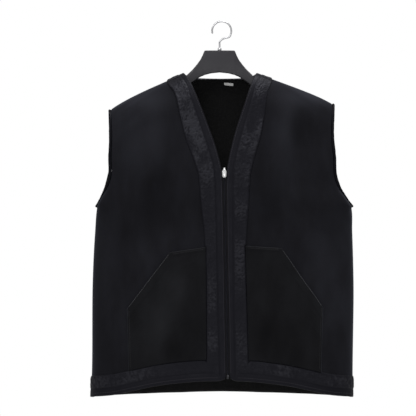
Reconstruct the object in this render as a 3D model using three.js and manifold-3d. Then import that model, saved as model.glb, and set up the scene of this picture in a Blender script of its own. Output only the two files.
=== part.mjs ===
import * as THREE from "three";
import { mergeVertices } from "three/addons/utils/BufferGeometryUtils.js";
import Module from "manifold-3d";

// A sleeveless sheepskin vest with a zip, hung on a broad plastic hanger.
// Millimetres, +Z up, the front faces -Y and +X is at the viewer's right.
// The origin is the top of the hook's inside, where a rail carries it.

const wasm = await Module();
wasm.setup();
const { Vector3 } = THREE;

// Cloth and trim.
const skin = 6; // sheepskin with its sheared wool
const gap = 0.3; // between pieces at a seam
const trim = 1.4; // leather of the bands
const bandWidth = 50;
const hemHeight = 46;
const bandStops = [0, 8, 17, 33.5, bandWidth]; // across the front band, from its edge
const hemStops = [0, 17, 31.5, hemHeight]; // up the hem band, from its edge
const crinkle = 0.7; // how far the trim's wrinkles rise
const bindingWidth = 7;
const bindingThickness = 9;
const underarmFlare = THREE.MathUtils.degToRad(40);

// The body's form.
const neckHeight = -118;
const underarm = -426;
const drape = 80; // height over which the cloth rounds over the shoulder
const corner = 115; // width over which it rounds to the side
const shoulderTurn = THREE.MathUtils.degToRad(52); // how far the armhole's edge has turned to the side
const turnRise = 100; // height over which the full turn under the arm gives way to it
const armDepth = { front: 40, back: 38 };
const scoop = 7; // the front armhole is cut this much deeper
const scoopFrom = -300;
const crown = 0.1; // the middle stands this share prouder than the sides

const sides = {
  left: { sign: -1, column: "left", shoulderDrop: 81 },
  right: { sign: 1, column: "right", shoulderDrop: 68 },
};

// Half widths of the cloth, at the armhole's edge down to the underarm and at the side seam below it.
const halfWidths = [
  { height: -190, left: 252.8, right: 250.8 },
  { height: -254, left: 248.8, right: 247 },
  { height: -293, left: 249, right: 249.2 },
  { height: -337, left: 253.4, right: 256.5 },
  { height: -376, left: 263.3, right: 268 },
  { height: -406, left: 277.5, right: 286 },
  { height: -426, left: 285.1, right: 297 },
  { height: -477, left: 289.7, right: 298.7 },
  { height: -548, left: 293.8, right: 300.9 },
  { height: -627, left: 296.1, right: 302 },
  { height: -785, left: 296.8, right: 299.8 },
  { height: -860, left: 299.6, right: 299.8 },
];

// How far the outer face stands before and behind the side seams.
const depths = [
  { height: -118, front: 45, back: 46 },
  { height: -220, front: 48, back: 53 },
  { height: -330, front: 52, back: 56 },
  { height: -480, front: 53, back: 52 },
  { height: -650, front: 56, back: 53 },
  { height: -860, front: 60, back: 56 },
];

// Front and neck edge: the middle of the opening and its half width.
const frontEdge = [
  { height: -118, half: 82.8, middle: -3.8 },
  { height: -120.5, half: 80.6, middle: -3.2 },
  { height: -142, half: 68.7, middle: -1.2 },
  { height: -193, half: 49, middle: 0.8 },
  { height: -248, half: 29.7, middle: 2 },
  { height: -290, half: 16.7, middle: 3.7 },
  { height: -330, half: 7.4, middle: 5 },
  { height: -342, half: 6, middle: 5.2 },
  { height: -356, half: 5.7, middle: 5.5 },
  { height: -372, half: 4, middle: 5.8 },
  { height: -810, half: 4, middle: 13.3 },
];

// Width of the front band as a share of its full one: less above the pockets, and much less over the shoulder.
const bandShares = [
  { height: -118, share: 0.66 },
  { height: -145, share: 0.68 },
  { height: -193, share: 0.86 },
  { height: -250, share: 1 },
  { height: -390, share: 1 },
  { height: -500, share: 0.85 },
  { height: -860, share: 0.87 },
];
const neckBandShare = 0.72;

// Bottom edge, by the distance round the body from its middle.
const hems = [
  { across: 0, front: -813, back: -849 },
  { across: 60, front: -814.5, back: -850 },
  { across: 145, front: -824, back: -852.5 },
  { across: 202, front: -836, back: -855 },
  { across: 255, front: -847, back: -856 },
  { across: 370, front: -856, back: -856 },
];
const hemCorner = { rise: 8, reach: 5 }; // the front's bottom corner is rounded

// Soft folds: a ridge (or a hollow, where lift is negative) along a line on the front or the back.
const folds = [
  { face: "front", x0: 156, z0: -235, x1: 92, z1: -407, spread: 20, lift: 4 },
  { face: "front", x0: 182, z0: -240, x1: 150, z1: -400, spread: 18, lift: -4 },
  { face: "front", x0: -168, z0: -215, x1: -150, z1: -320, spread: 30, lift: 4 },
  { face: "front", x0: -118, z0: -330, x1: -166, z1: -470, spread: 22, lift: -4 },
  { face: "front", x0: -60, z0: -570, x1: -146, z1: -740, spread: 20, lift: 3.5 },
  { face: "front", x0: -108, z0: -550, x1: -182, z1: -700, spread: 18, lift: -2.5 },
  { face: "front", x0: 150, z0: -600, x1: 90, z1: -745, spread: 20, lift: -3.5 },
  { face: "front", x0: 205, z0: -600, x1: 150, z1: -770, spread: 22, lift: 2.5 },
  { face: "back", x0: -112, z0: -250, x1: -138, z1: -560, spread: 30, lift: 4 },
  { face: "back", x0: 108, z0: -240, x1: 126, z1: -530, spread: 28, lift: 4 },
  { face: "back", x0: 0, z0: -300, x1: 8, z1: -640, spread: 38, lift: -4 },
  { face: "back", x0: -200, z0: -620, x1: -212, z1: -850, spread: 28, lift: 4 },
  { face: "back", x0: 190, z0: -600, x1: 206, z1: -850, spread: 28, lift: 4 },
  { face: "back", x0: -92, z0: -640, x1: -98, z1: -850, spread: 26, lift: -3.5 },
  { face: "back", x0: 84, z0: -660, x1: 92, z1: -850, spread: 26, lift: -3.5 },
];
const foldEnd = 45; // length over which a fold dies out

// Patch pockets: a level top, a slanted mouth and a straight outer side, as distances from the body's middle.
const pockets = {
  left: { inner: 37.5, innerLow: 36, top: -513, mouth: 118, mouthTop: -525, outer: 214.5, outerTop: -653, outerLow: 211 },
  right: { inner: 54, innerLow: 61, top: -510, mouth: 135, mouthTop: -515.5, outer: 229, outerTop: -651, outerLow: 225 },
};
const pocketSkin = 1.8;
const pocketClear = 0.9; // between a pocket's straight edges and the bands

const backNeck = { height: -127.5, rise: 9.5, power: 6, peak: 38, lift: 2 };

// Zip.
const zip = { recess: 1.6, thickness: 2.4, bottom: -801 };
const slider = { width: 10.4, neckWidth: 4.4, height: 15.5, neckHeight: 4.6, thickness: 7, top: -334.5, proud: 1.2 };
const bail = { width: 2, standOff: 2.5, bar: 1.1, rib: 1.4, from: 3.2, to: 11 };
const tab = { width: 7.6, topWidth: 6.2, length: 16.5, thickness: 1.1, hole: 3.2, holeLength: 9, eye: 1.3 };
const endBox = { width: 5.6, height: 9, thickness: 4 };
const label = { width: 22, height: 7, thickness: 0.6, x: 17.5, top: -133.5, tilt: 0.7, clear: 0.85 };

// Hanger.
const hanger = { middle: -4.8, tipAt: 232, armHeight: 27, tipHeight: 22, neckDepth: 11, tipDepth: 13 };
const hangerPlate = [
  { out: 0, top: -64.5, bottom: -114.7, depth: 6, round: 2 },
  { out: 20, top: -64.5, bottom: -116.8, depth: 6, round: 2 },
  { out: 34, top: -64.7, bottom: -120.4, depth: 6, round: 2.2 },
  { out: 36, top: -68, bottom: -121.3, depth: 6, round: 2.6 },
  { out: 39, top: -75.5, bottom: -122.6, depth: 6.2, round: 3 },
  { out: 44, top: -85.6, bottom: -124.5, depth: 6.5, round: 4 },
  { out: 52, top: -96.6, bottom: -129.8, depth: 7, round: 5.5 },
  { out: 62, top: -108.4, bottom: -137, depth: 8, round: 7 },
  { out: 74, top: -120, bottom: -146, depth: 9.5, round: 9 },
  { out: 79, top: -126, bottom: -150, depth: 10, round: 11 },
];
const hook = { wire: 2, radius: 22, shaftX: -4.8, shaftTop: -44, from: -38, to: 196 };
const ferrule = { radius: 4.6, height: 5.5, bore: 2.3 };

// A value from a table by its first column, smoothly between the rows and level beyond them.
function lookup(table, by, at, column) {
  const rising = table[table.length - 1][by] > table[0][by];
  const rows = rising ? table : [...table].reverse();
  const x = THREE.MathUtils.clamp(at, rows[0][by], rows[rows.length - 1][by]);
  let i = 0;
  while (i < rows.length - 2 && rows[i + 1][by] < x) i++;
  const value = (k) => rows[k][column];
  const slope = (k) => {
    const a = Math.max(k - 1, 0);
    const b = Math.min(k + 1, rows.length - 1);
    return (value(b) - value(a)) / (rows[b][by] - rows[a][by]);
  };
  const step = rows[i + 1][by] - rows[i][by];
  const t = (x - rows[i][by]) / step;
  const t2 = t * t;
  const t3 = t2 * t;
  return (
    value(i) * (2 * t3 - 3 * t2 + 1) +
    value(i + 1) * (3 * t2 - 2 * t3) +
    slope(i) * step * (t3 - 2 * t2 + t) +
    slope(i + 1) * step * (t3 - t2)
  );
}

const lerp = THREE.MathUtils.lerp;
const facing = { front: -1, back: 1 };

// The angle that the cloth's outer edge has turned from the front towards the side.
function turnAt(z) {
  const rise = THREE.MathUtils.smoothstep(z, underarm, underarm + turnRise);
  return lerp(Math.PI / 2, shoulderTurn, rise);
}

function halfWidthAt(side, face, z) {
  const along = THREE.MathUtils.clamp((z - underarm) / (scoopFrom - underarm), 0, 1);
  const cut = face === "front" ? scoop * Math.sin(Math.PI * along) ** 2 : 0;
  return lookup(halfWidths, "height", z, side.column) - cut;
}

// Distance round the body to the cloth's outer edge.
function outerEdge(side, face, z) {
  const turn = turnAt(z);
  return halfWidthAt(side, face, z) - corner + (corner * turn) / Math.sin(turn);
}

// How far the cloth falls over a distance down it from the ridge, and the other way round.
function fallOf(drop) {
  const roll = drop / drape;
  return roll < Math.PI / 2 ? drape * (1 - Math.cos(roll)) : drape + drop - (drape * Math.PI) / 2;
}

function dropOf(fall) {
  return fall < drape ? drape * Math.acos(1 - Math.max(fall, 0) / drape) : (drape * Math.PI) / 2 + fall - drape;
}

for (const side of Object.values(sides)) {
  side.neck = frontEdge[0].half + side.sign * frontEdge[0].middle + trim + gap;
  side.tipHeight = neckHeight - side.shoulderDrop;
  side.tip = outerEdge(side, "back", side.tipHeight);
}

// The shoulder's ridge, carried on over the neck opening to a peak above its middle.
function ridgeHeight(side, across) {
  if (across < side.neck) return neckHeight + backNeck.peak * (1 - across / side.neck);
  return neckHeight - (side.shoulderDrop * (across - side.neck)) / (side.tip - side.neck);
}

const dropAt = (side, across, z) => dropOf(ridgeHeight(side, across) - z);

// Each fold is a smooth bell across its line, dying out at its ends.
function foldLift(face, x, z) {
  let total = 0;
  for (const f of folds) {
    if (f.face !== face) continue;
    const length = Math.hypot(f.x1 - f.x0, f.z1 - f.z0);
    const ux = (f.x1 - f.x0) / length;
    const uz = (f.z1 - f.z0) / length;
    const along = (x - f.x0) * ux + (z - f.z0) * uz;
    const away = (x - f.x0) * uz - (z - f.z0) * ux;
    const past = Math.max(-along, along - length, 0);
    total += f.lift * Math.exp(-((away / f.spread) ** 2) - (past / foldEnd) ** 2);
  }
  return total;
}

// The outer face of the cloth: across is the distance round the body from its middle, and drop the distance down from
// the shoulder ridge. The face is level across the body and turns to the side through part of an ellipse, and it
// rounds over the shoulder through a quarter of another.
function cloth(side, face, across, drop) {
  const roll = Math.min(drop / drape, Math.PI / 2);
  const z = ridgeHeight(side, across) - fallOf(drop);
  const half = halfWidthAt(side, face, z);
  const turn = turnAt(z);
  const level = half - corner;
  const angle = Math.max(across - level, 0) * (Math.sin(turn) / corner);
  const x = across < level ? across : level + (corner * Math.sin(angle)) / Math.sin(turn);
  const share = (Math.cos(angle) - Math.cos(turn)) / (1 - Math.cos(turn));
  const top = ridgeHeight(side, Math.min(across, side.tip));
  const up = (2 * (z - underarm)) / (top - underarm) - 1;
  const edge = Math.sign(drop) * armDepth[face] * Math.sqrt(Math.max(1 - up * up, 0));
  const full = lookup(depths, "height", z, face) * (1 - crown * (x / half) ** 2) + foldLift(face, side.sign * x, z);
  const y = facing[face] * (edge + (full * Math.sin(roll) - edge) * share);
  return new Vector3(side.sign * x, y, z);
}

// A point of the cloth with its outward normal.
function spot(side, face, across, drop) {
  const h = 0.5;
  const du = cloth(side, face, across + h, drop).sub(cloth(side, face, across - h, drop));
  const dv = cloth(side, face, across, drop + h).sub(cloth(side, face, across, drop - h));
  const normal = du.clone().cross(dv).multiplyScalar(side.sign * facing[face]).normalize();
  const step = 1 / (2 * h);
  return { at: cloth(side, face, across, drop), normal, du: du.multiplyScalar(step), dv: dv.multiplyScalar(step) };
}

// A point on the normal through a spot, and then off the cloth's edge; it stays on its own side of the seams.
function moved(s, up, off, out) {
  const point = s.at.clone().addScaledVector(s.normal, up);
  if (off) point.addScaledVector(off, out);
  const face = Math.sign(s.at.y);
  point.y = face * Math.max(face * point.y, gap / 2);
  return point;
}

// A closed geometry from points and triangles, with its faces turned outwards.
function closed(points, triangles) {
  let volume = 0;
  for (const [a, b, c] of triangles) volume += points[a].dot(points[b].clone().cross(points[c]));
  const faces = volume < 0 ? triangles.map(([a, b, c]) => [a, c, b]) : triangles;
  const geometry = new THREE.BufferGeometry();
  geometry.setAttribute("position", new THREE.Float32BufferAttribute(points.flatMap((p) => p.toArray()), 3));
  geometry.setIndex(faces.flat());
  geometry.computeVertexNormals();
  return geometry;
}

// A wall from a grid whose cells hold an outer and an inner point each, closed round its four edges.
function wall(grid) {
  const rows = grid.length;
  const columns = grid[0].length;
  const points = [...grid.flat().map((c) => c[0]), ...grid.flat().map((c) => c[1])];
  const outer = (r, c) => r * columns + c;
  const inner = (r, c) => rows * columns + r * columns + c;
  const triangles = [];
  const quad = (a, b, c, d) => triangles.push([a, b, c], [a, c, d]);
  for (let r = 0; r < rows - 1; r++) {
    for (let c = 0; c < columns - 1; c++) {
      quad(outer(r, c), outer(r, c + 1), outer(r + 1, c + 1), outer(r + 1, c));
      triangles.push([inner(r, c), inner(r + 1, c + 1), inner(r, c + 1)]);
      triangles.push([inner(r, c), inner(r + 1, c), inner(r + 1, c + 1)]);
    }
    quad(outer(r, 0), outer(r + 1, 0), inner(r + 1, 0), inner(r, 0));
    quad(outer(r + 1, columns - 1), outer(r, columns - 1), inner(r, columns - 1), inner(r + 1, columns - 1));
  }
  for (let c = 0; c < columns - 1; c++) {
    quad(outer(0, c + 1), outer(0, c), inner(0, c), inner(0, c + 1));
    quad(outer(rows - 1, c), outer(rows - 1, c + 1), inner(rows - 1, c + 1), inner(rows - 1, c));
  }
  return closed(points, triangles);
}

// A tube through rings of points, closed into a loop or capped at both ends.
function tube(rings, loop) {
  const sides = rings[0].length;
  const points = rings.flat();
  const triangles = [];
  const spans = loop ? rings.length : rings.length - 1;
  for (let r = 0; r < spans; r++) {
    const next = (r + 1) % rings.length;
    for (let i = 0; i < sides; i++) {
      const j = (i + 1) % sides;
      triangles.push([r * sides + i, r * sides + j, next * sides + j]);
      triangles.push([r * sides + i, next * sides + j, next * sides + i]);
    }
  }
  if (!loop) {
    const last = (rings.length - 1) * sides;
    for (let i = 1; i < sides - 1; i++) {
      triangles.push([0, i + 1, i]);
      triangles.push([last, last + i, last + i + 1]);
    }
  }
  return closed(points, triangles);
}

// Booleans: a geometry as a solid and back.
function solidOf(geometry) {
  const bare = geometry.clone();
  bare.deleteAttribute("normal");
  bare.deleteAttribute("uv");
  const merged = mergeVertices(bare, 1e-4);
  const triVerts = new Uint32Array(merged.index.array);
  return new wasm.Manifold(new wasm.Mesh({ numProp: 3, vertProperties: merged.attributes.position.array, triVerts }));
}

function geometryOf(solid) {
  const mesh = solid.getMesh();
  const geometry = new THREE.BufferGeometry();
  geometry.setAttribute("position", new THREE.BufferAttribute(mesh.vertProperties, 3));
  geometry.setIndex(new THREE.BufferAttribute(mesh.triVerts, 1));
  geometry.computeVertexNormals();
  return geometry;
}

// A prism through the cloth, with its outline in the front view.
function prism(outline) {
  const shape = new THREE.Shape(outline.map(([x, z]) => new THREE.Vector2(x, z)));
  const geometry = new THREE.ExtrudeGeometry(shape, { depth: 400, bevelEnabled: false });
  return solidOf(geometry.translate(0, 0, -200).rotateX(Math.PI / 2));
}

// Rows of the panels: the hem band's, the body's up to the underarm, and round the armhole to the shoulder.
const bodyRows = 9;
const armRows = 14;
const slitStops = [-422, -390, -354.9, -330]; // the front edge's first arm rows; the V starts at the last
const ridgeCrowding = 1.4; // rows lie closer towards the ridge
const panelColumns = 11;
const neckLines = 8; // columns of the back, and lines of its band, from its middle to a shoulder
const seamInset = 0.5;
const underarmRow = hemStops.length - 1 + bodyRows;
const lastRow = underarmRow + armRows;

const edgeAcross = (side, z) =>
  lookup(frontEdge, "height", z, "half") + side.sign * lookup(frontEdge, "height", z, "middle") + trim + gap;

function hemAt(side, face, across) {
  const past = across - edgeAcross(side, hems[0].front);
  const rounded = face === "front" ? hemCorner.rise * Math.exp(-past / hemCorner.reach) : 0;
  return lookup(hems, "across", Math.max(across, 0), face) + rounded;
}

// Height of the armhole's edge on a row above the underarm.
function armHeight(side, row) {
  const half = (side.tipHeight - underarm) / 2;
  return underarm + half * (1 - Math.cos((Math.PI * row) / armRows));
}

// Height of the front edge on a row above the underarm.
function edgeHeight(row) {
  const last = slitStops.length - 1;
  if (row <= last) return slitStops[row];
  const left = (armRows - row) / (armRows - last);
  return neckHeight - fallOf(dropOf(neckHeight - slitStops[last]) * left ** ridgeCrowding);
}

const bandShareAt = (z) => lookup(bandShares, "height", z, "share");

// Distances across a panel: the band's, and evenly from there to its outer edge.
function stopsAcross(start, outer, bandScale) {
  const band = bandStops.map((e) => start + e * bandScale);
  const from = band[band.length - 1];
  return [...band, ...Array.from({ length: panelColumns }, (_, i) => lerp(from, outer, (i + 1) / panelColumns))];
}

// The grid of a front panel, from its front edge to the side seam and armhole, and from the hem to the ridge.
function frontGrid(side) {
  const start = edgeAcross(side, slitStops[0]);
  const outer = outerEdge(side, "front", underarm) - seamInset;
  const lastBody = stopsAcross(start, outer, bandShareAt(slitStops[0])).map((s) => {
    const z = lerp(slitStops[0], underarm, (s - start) / (outer - start));
    return dropAt(side, s, z);
  });
  return Array.from({ length: lastRow + 1 }, (_, k) => {
    const lift = hemStops[Math.min(k, hemStops.length - 1)];
    const up = Math.max(k - hemStops.length + 1, 0) / bodyRows;
    const row = k - underarmRow;
    if (row <= 0) {
      const start = lerp(hems[0].front + lift, slitStops[0], up);
      const inner = edgeAcross(side, start);
      const edge = outerEdge(side, "front", lerp(hems[5].front + lift, underarm, up)) - seamInset;
      return stopsAcross(inner, edge, bandShareAt(start)).map((s, i) => {
        return spot(side, "front", s, lerp(dropAt(side, s, hemAt(side, "front", s) + lift), lastBody[i], up));
      });
    }
    const z = edgeHeight(row);
    const inner = edgeAcross(side, z);
    const edge = outerEdge(side, "front", armHeight(side, row));
    const lean = edgeAcross(side, z + 4) - edgeAcross(side, z - 4);
    const innerDrop = dropAt(side, inner, z);
    const edgeDrop = dropAt(side, edge, armHeight(side, row));
    return stopsAcross(inner, edge, Math.min(Math.hypot(1, lean / 8), 1.2) * bandShareAt(z)).map((s) => {
      const drop = lerp(innerDrop, edgeDrop, (s - inner) / (edge - inner));
      return spot(side, "front", s, row < armRows ? drop : 0.3);
    });
  });
}

// The grid of half of the back, from its middle to the side seam, and from the hem to the neckline and ridge.
function backNeckDrop(side, across) {
  const share = across / side.neck;
  return dropAt(side, across, backNeck.height + backNeck.rise * share ** backNeck.power);
}

const neckStops = Array.from({ length: neckLines }, (_, i) => Math.sin((Math.PI / 2) * (i / neckLines)));

function backHalf(side) {
  return Array.from({ length: lastRow + 1 }, (_, k) => {
    const lift = hemStops[Math.min(k, hemStops.length - 1)];
    const up = Math.min(Math.max(k - hemStops.length + 1, 0) / bodyRows, 1);
    const row = Math.max(k - underarmRow, 0);
    const z = row > 0 ? armHeight(side, row) : lerp(hems[5].back + lift, underarm, up);
    const edge = outerEdge(side, "back", z) - (row > 0 ? 0 : seamInset);
    return [...neckStops.map((t) => t * side.neck), ...stopsAcross(side.neck, edge, 1)].map((s) => {
      const atUnderarm = dropAt(side, s, underarm);
      if (row === 0) return spot(side, "back", s, lerp(dropAt(side, s, hemAt(side, "back", s) + lift), atUnderarm, up));
      const top = s < side.neck ? backNeckDrop(side, s) : 0;
      const inner = lerp(top, atUnderarm, (1 - row / armRows) ** ridgeCrowding);
      const drop = lerp(inner, dropAt(side, edge, z), Math.max(s - side.neck, 0) / (edge - side.neck));
      return spot(side, "back", s, row < armRows || s < side.neck ? drop : 0.3);
    });
  });
}

const halves = { left: backHalf(sides.left), right: backHalf(sides.right) };
const backGrid = halves.left.map((row, k) => [...row.slice(1).reverse(), ...halves.right[k]]);
const fronts = { left: frontGrid(sides.left), right: frontGrid(sides.right) };

const thick = (grid) => grid.map((row) => row.map((s) => [moved(s, 0), moved(s, -skin)]));
const wrinkle = (r, c) => crinkle * (0.5 + 0.5 * Math.sin(2.4 * r + 4.1 * c));

// The direction off the cloth's edge at a line's first spot, away from its next one.
function offEdge(before, line, after) {
  const off = line[0].normal.clone().cross(after[0].at.clone().sub(before[0].at)).normalize();
  return off.dot(line[1].at.clone().sub(line[0].at)) > 0 ? off.negate() : off;
}

// Leather over lines of spots that start at the cloth's edge: folded down over its rim, and wrinkled on its face.
function foldedBand(lines) {
  const last = lines.length - 1;
  return wall(
    lines.map((line, r) => {
      const off = offEdge(lines[Math.max(r - 1, 0)], line, lines[Math.min(r + 1, last)]);
      const lift = gap + (line.lift ?? 0);
      const clear = gap + 0.25 * (line.lift ?? 0);
      const face = line.map((s, c) => [moved(s, lift + trim + (c > 0 ? wrinkle(r, c) : 0)), moved(s, lift)]);
      const rim = [-skin, lift].map((up) => [
        moved(line[0], up > 0 ? up + trim : up, off, clear + trim),
        moved(line[0], up, off, clear),
      ]);
      return [...rim, ...face];
    }),
  );
}

// The front band's lines, from the hem to its seam with the neck band, and on from there to the ridge.
const bandLine = (side, k) => fronts[side.column][k].slice(0, bandStops.length);
const bandSeam = lastRow - 2;
function between(a, b, t) {
  return a.map((s, i) => ({ at: s.at.clone().lerp(b[i].at, t), normal: s.normal.clone().lerp(b[i].normal, t).normalize() }));
}

function frontBand(side) {
  const lines = Array.from({ length: bandSeam + 1 }, (_, k) => bandLine(side, k));
  return foldedBand(lines);
}

const hemBand = (grid) => foldedBand(grid[0].map((_, c) => grid.slice(0, hemStops.length).map((row) => row[c])));

// A line of the neck band on the back: it runs from the neckline along the cloth, square to the neckline and turning
// to follow the ridge near the shoulder.
function backLine(side, i) {
  const across = side.neck * neckStops[i];
  const drop = backNeckDrop(side, across);
  const edge = spot(side, "back", across, drop);
  const h = 2;
  const before = spot(side, "back", across - h, backNeckDrop(side, Math.abs(across - h)));
  const after = spot(side, "back", across + h, backNeckDrop(side, across + h));
  const along = i === 0 ? new Vector3(1, 0, 0) : after.at.clone().sub(before.at);
  const down = edge.normal.clone().cross(along).normalize();
  if (down.z > 0) down.negate();
  // The steps across and down the cloth that together make that direction.
  const uu = edge.du.dot(edge.du);
  const uv = edge.du.dot(edge.dv);
  const vv = edge.dv.dot(edge.dv);
  const ud = edge.du.dot(down);
  const vd = edge.dv.dot(down);
  const det = uu * vv - uv * uv;
  const turned = THREE.MathUtils.smoothstep(i, neckLines / 2, neckLines);
  const du = lerp((ud * vv - vd * uv) / det, 0.92, turned);
  const dv = lerp((vd * uu - ud * uv) / det, 0, turned);
  const stops = bandStops
    .flatMap((e, k) => (k > 0 ? [(bandStops[k - 1] + e) / 2, e] : [e]))
    .map((e) => e * neckBandShare);
  const line = stops.map((e) => spot(side, "back", across + e * du, drop + e * dv));
  line.lift = backNeck.lift;
  return line;
}

function neckBand() {
  const finer = (line) => [line[0], ...line.slice(1).flatMap((s, i) => [...between([line[i]], [s], 0.5), s])];
  const overShoulder = (side) => [
    finer(between(bandLine(side, bandSeam), bandLine(side, bandSeam + 1), 0.022)),
    finer(bandLine(side, bandSeam + 1)),
    finer(bandLine(side, lastRow)),
  ];
  const indexes = neckStops.map((_, i) => i);
  return foldedBand([
    ...overShoulder(sides.left),
    ...indexes.toReversed().map((i) => backLine(sides.left, i)),
    ...indexes.slice(1).map((i) => backLine(sides.right, i)),
    ...overShoulder(sides.right).reverse(),
  ]);
}

// The two sides of the mitre between a front band and its hem band, as outlines in the front view. The front band
// also ends beside the pocket.
function mitre(side, above) {
  const edge = fronts[side.column][0][0].at;
  const p = pockets[side.column];
  const line = (d) => [edge.x + side.sign * d, edge.z + d - hemCorner.rise + (above ? gap : -gap)];
  const near = edge.x - side.sign * 40;
  const far = edge.x + side.sign * 400;
  if (!above) return [line(-40), line(90), [far, edge.z + 90], [far, edge.z - 150], [near, edge.z - 150]];
  const beside = side.sign * (p.innerLow - pocketClear);
  return [
    line(-40),
    line(Math.abs(beside - edge.x)),
    [side.sign * (p.inner - pocketClear), p.top + pocketClear],
    [far, p.top + pocketClear],
    [far, 0],
    [near, 0],
  ];
}

// A patch pocket, cut to its outline from a layer that lies on the front panel.
function pocket(side) {
  const p = pockets[side.column];
  const block = fronts[side.column].slice(1, underarmRow + 1).map((row) => row.slice(2));
  const sheet = wall(block.map((row) => row.map((s) => [moved(s, gap + pocketSkin), moved(s, gap)])));
  const low = (across) => hemAt(side, "front", across) + hemHeight + pocketClear;
  const corners = [
    [p.inner, p.top],
    [p.mouth, p.mouthTop],
    [p.outer, p.outerTop],
    ...[p.outerLow, 170, 120, 80, p.innerLow].map((across) => [across, low(across)]),
  ];
  return geometryOf(solidOf(sheet).intersect(prism(corners.map(([across, z]) => [side.sign * across, z]))));
}

// Narrow folded leather round the armhole, with an oval section: up the front edge and down the back one.
function binding(side) {
  const loop = [];
  const at = (face, row) => {
    const grid = face === "front" ? fronts[side.column] : halves[side.column];
    return grid[underarmRow + row].at(-1);
  };
  for (let j = 0; j <= armRows; j++) loop.push({ spot: at("front", j), row: j });
  for (let j = armRows; j >= 0; j--) loop.push({ spot: at("back", j), row: j });
  const merged = loop.filter(({ row }, i) => !((row === 0 && i > 0) || (row === armRows && i > armRows)));
  const count = merged.length;
  const points = 8;
  const rings = merged.map(({ spot: s, row }, i) => {
    const ends = row === 0 || row === armRows;
    const place = ends ? new Vector3(s.at.x, 0, s.at.z) : s.at;
    const normal = ends ? new Vector3(s.normal.x, 0, s.normal.z).normalize() : s.normal;
    const along = merged[(i + 1) % count].spot.at.clone().sub(merged[(i + count - 1) % count].spot.at);
    const flat = normal.clone().cross(along).normalize().multiplyScalar(-side.sign);
    const flare = underarmFlare * Math.exp(-((row / 2) ** 2));
    const off = flat.clone().multiplyScalar(Math.cos(flare)).addScaledVector(normal, Math.sin(flare));
    const up = normal.clone().multiplyScalar(Math.cos(flare)).addScaledVector(flat, -Math.sin(flare));
    const middle = place.clone().addScaledVector(normal, -skin / 2).addScaledVector(off, 4 * gap + bindingWidth / 2 + 3 * flare);
    return Array.from({ length: points }, (_, k) => {
      const angle = (2 * Math.PI * (k + 0.5)) / points;
      return middle
        .clone()
        .addScaledVector(off, (Math.cos(angle) * bindingWidth) / 2)
        .addScaledVector(up, (Math.sin(angle) * bindingThickness) / 2);
    });
  });
  return tube(rings, true);
}

// Half of the closed zip, tape and teeth, lying in the slit between the folded edges.
function zipHalf(side) {
  const lines = fronts[side.column].slice(0, underarmRow + slitStops.length - 1);
  const inSlit = lines.filter((row) => row[0].at.z > zip.bottom);
  const off = new Vector3(-side.sign, 0, 0);
  const under = -zip.recess - zip.thickness;
  const near = 2 * gap + trim;
  const first = inSlit[0][0];
  const foot = { at: first.at.clone().setZ(zip.bottom), normal: first.normal };
  return wall(
    [foot, ...inSlit.map((row) => row[0])].map((edge) => {
      const far = lookup(frontEdge, "height", edge.at.z, "half") + trim + gap / 2;
      return [
        [moved(edge, -zip.recess, off, near), moved(edge, under, off, near)],
        [moved(edge, -zip.recess, off, far), moved(edge, under, off, far)],
      ];
    }),
  );
}

function extrudedPlate(shape, depth) {
  const geometry = new THREE.ExtrudeGeometry(shape, { depth, bevelEnabled: false, curveSegments: 6 });
  return geometry.rotateX(Math.PI / 2); // the outline stands upright, and its thickness runs towards the front
}

// The slider: a narrow neck over a body with sloping shoulders and a notch under it, with a bail on its face.
function sliderGeometry() {
  const half = slider.width / 2;
  const neck = slider.neckWidth / 2;
  const bottom = -slider.neckHeight - slider.height;
  const shape = new THREE.Shape();
  shape.moveTo(-neck, 0);
  shape.lineTo(-neck, -slider.neckHeight + 1);
  shape.lineTo(-half, -slider.neckHeight - 3);
  shape.lineTo(-half + 0.6, bottom);
  shape.lineTo(-1.6, bottom);
  shape.lineTo(0, bottom + 2.2);
  shape.lineTo(1.6, bottom);
  shape.lineTo(half - 0.6, bottom);
  shape.lineTo(half, -slider.neckHeight - 3);
  shape.lineTo(neck, -slider.neckHeight + 1);
  shape.lineTo(neck, 0);
  const body = extrudedPlate(shape, slider.thickness).translate(0, slider.thickness, 0);
  const arch = new THREE.Shape();
  const reach = bail.standOff + bail.bar;
  arch.moveTo(0.5, -bail.from);
  arch.lineTo(-reach + 0.8, -bail.from);
  arch.lineTo(-reach, -bail.from - 0.8);
  arch.lineTo(-reach, -bail.to + 1.6);
  arch.lineTo(-reach + 1.6, -bail.to);
  arch.lineTo(0.5, -bail.to);
  arch.lineTo(0.5, -bail.to + bail.rib);
  arch.lineTo(-bail.standOff, -bail.to + bail.rib);
  arch.lineTo(-bail.standOff, -bail.from - bail.rib);
  arch.lineTo(0.5, -bail.from - bail.rib);
  const bridge = new THREE.ExtrudeGeometry(arch, { depth: bail.width, bevelEnabled: false });
  // The arch is drawn with its first axis along Y and its second along Z, and is carried along X.
  bridge.applyMatrix4(new THREE.Matrix4().makeBasis(new Vector3(0, 1, 0), new Vector3(0, 0, 1), new Vector3(1, 0, 0)));
  bridge.translate(-bail.width / 2, 0, 0);
  return geometryOf(solidOf(body).add(solidOf(bridge)));
}

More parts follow.
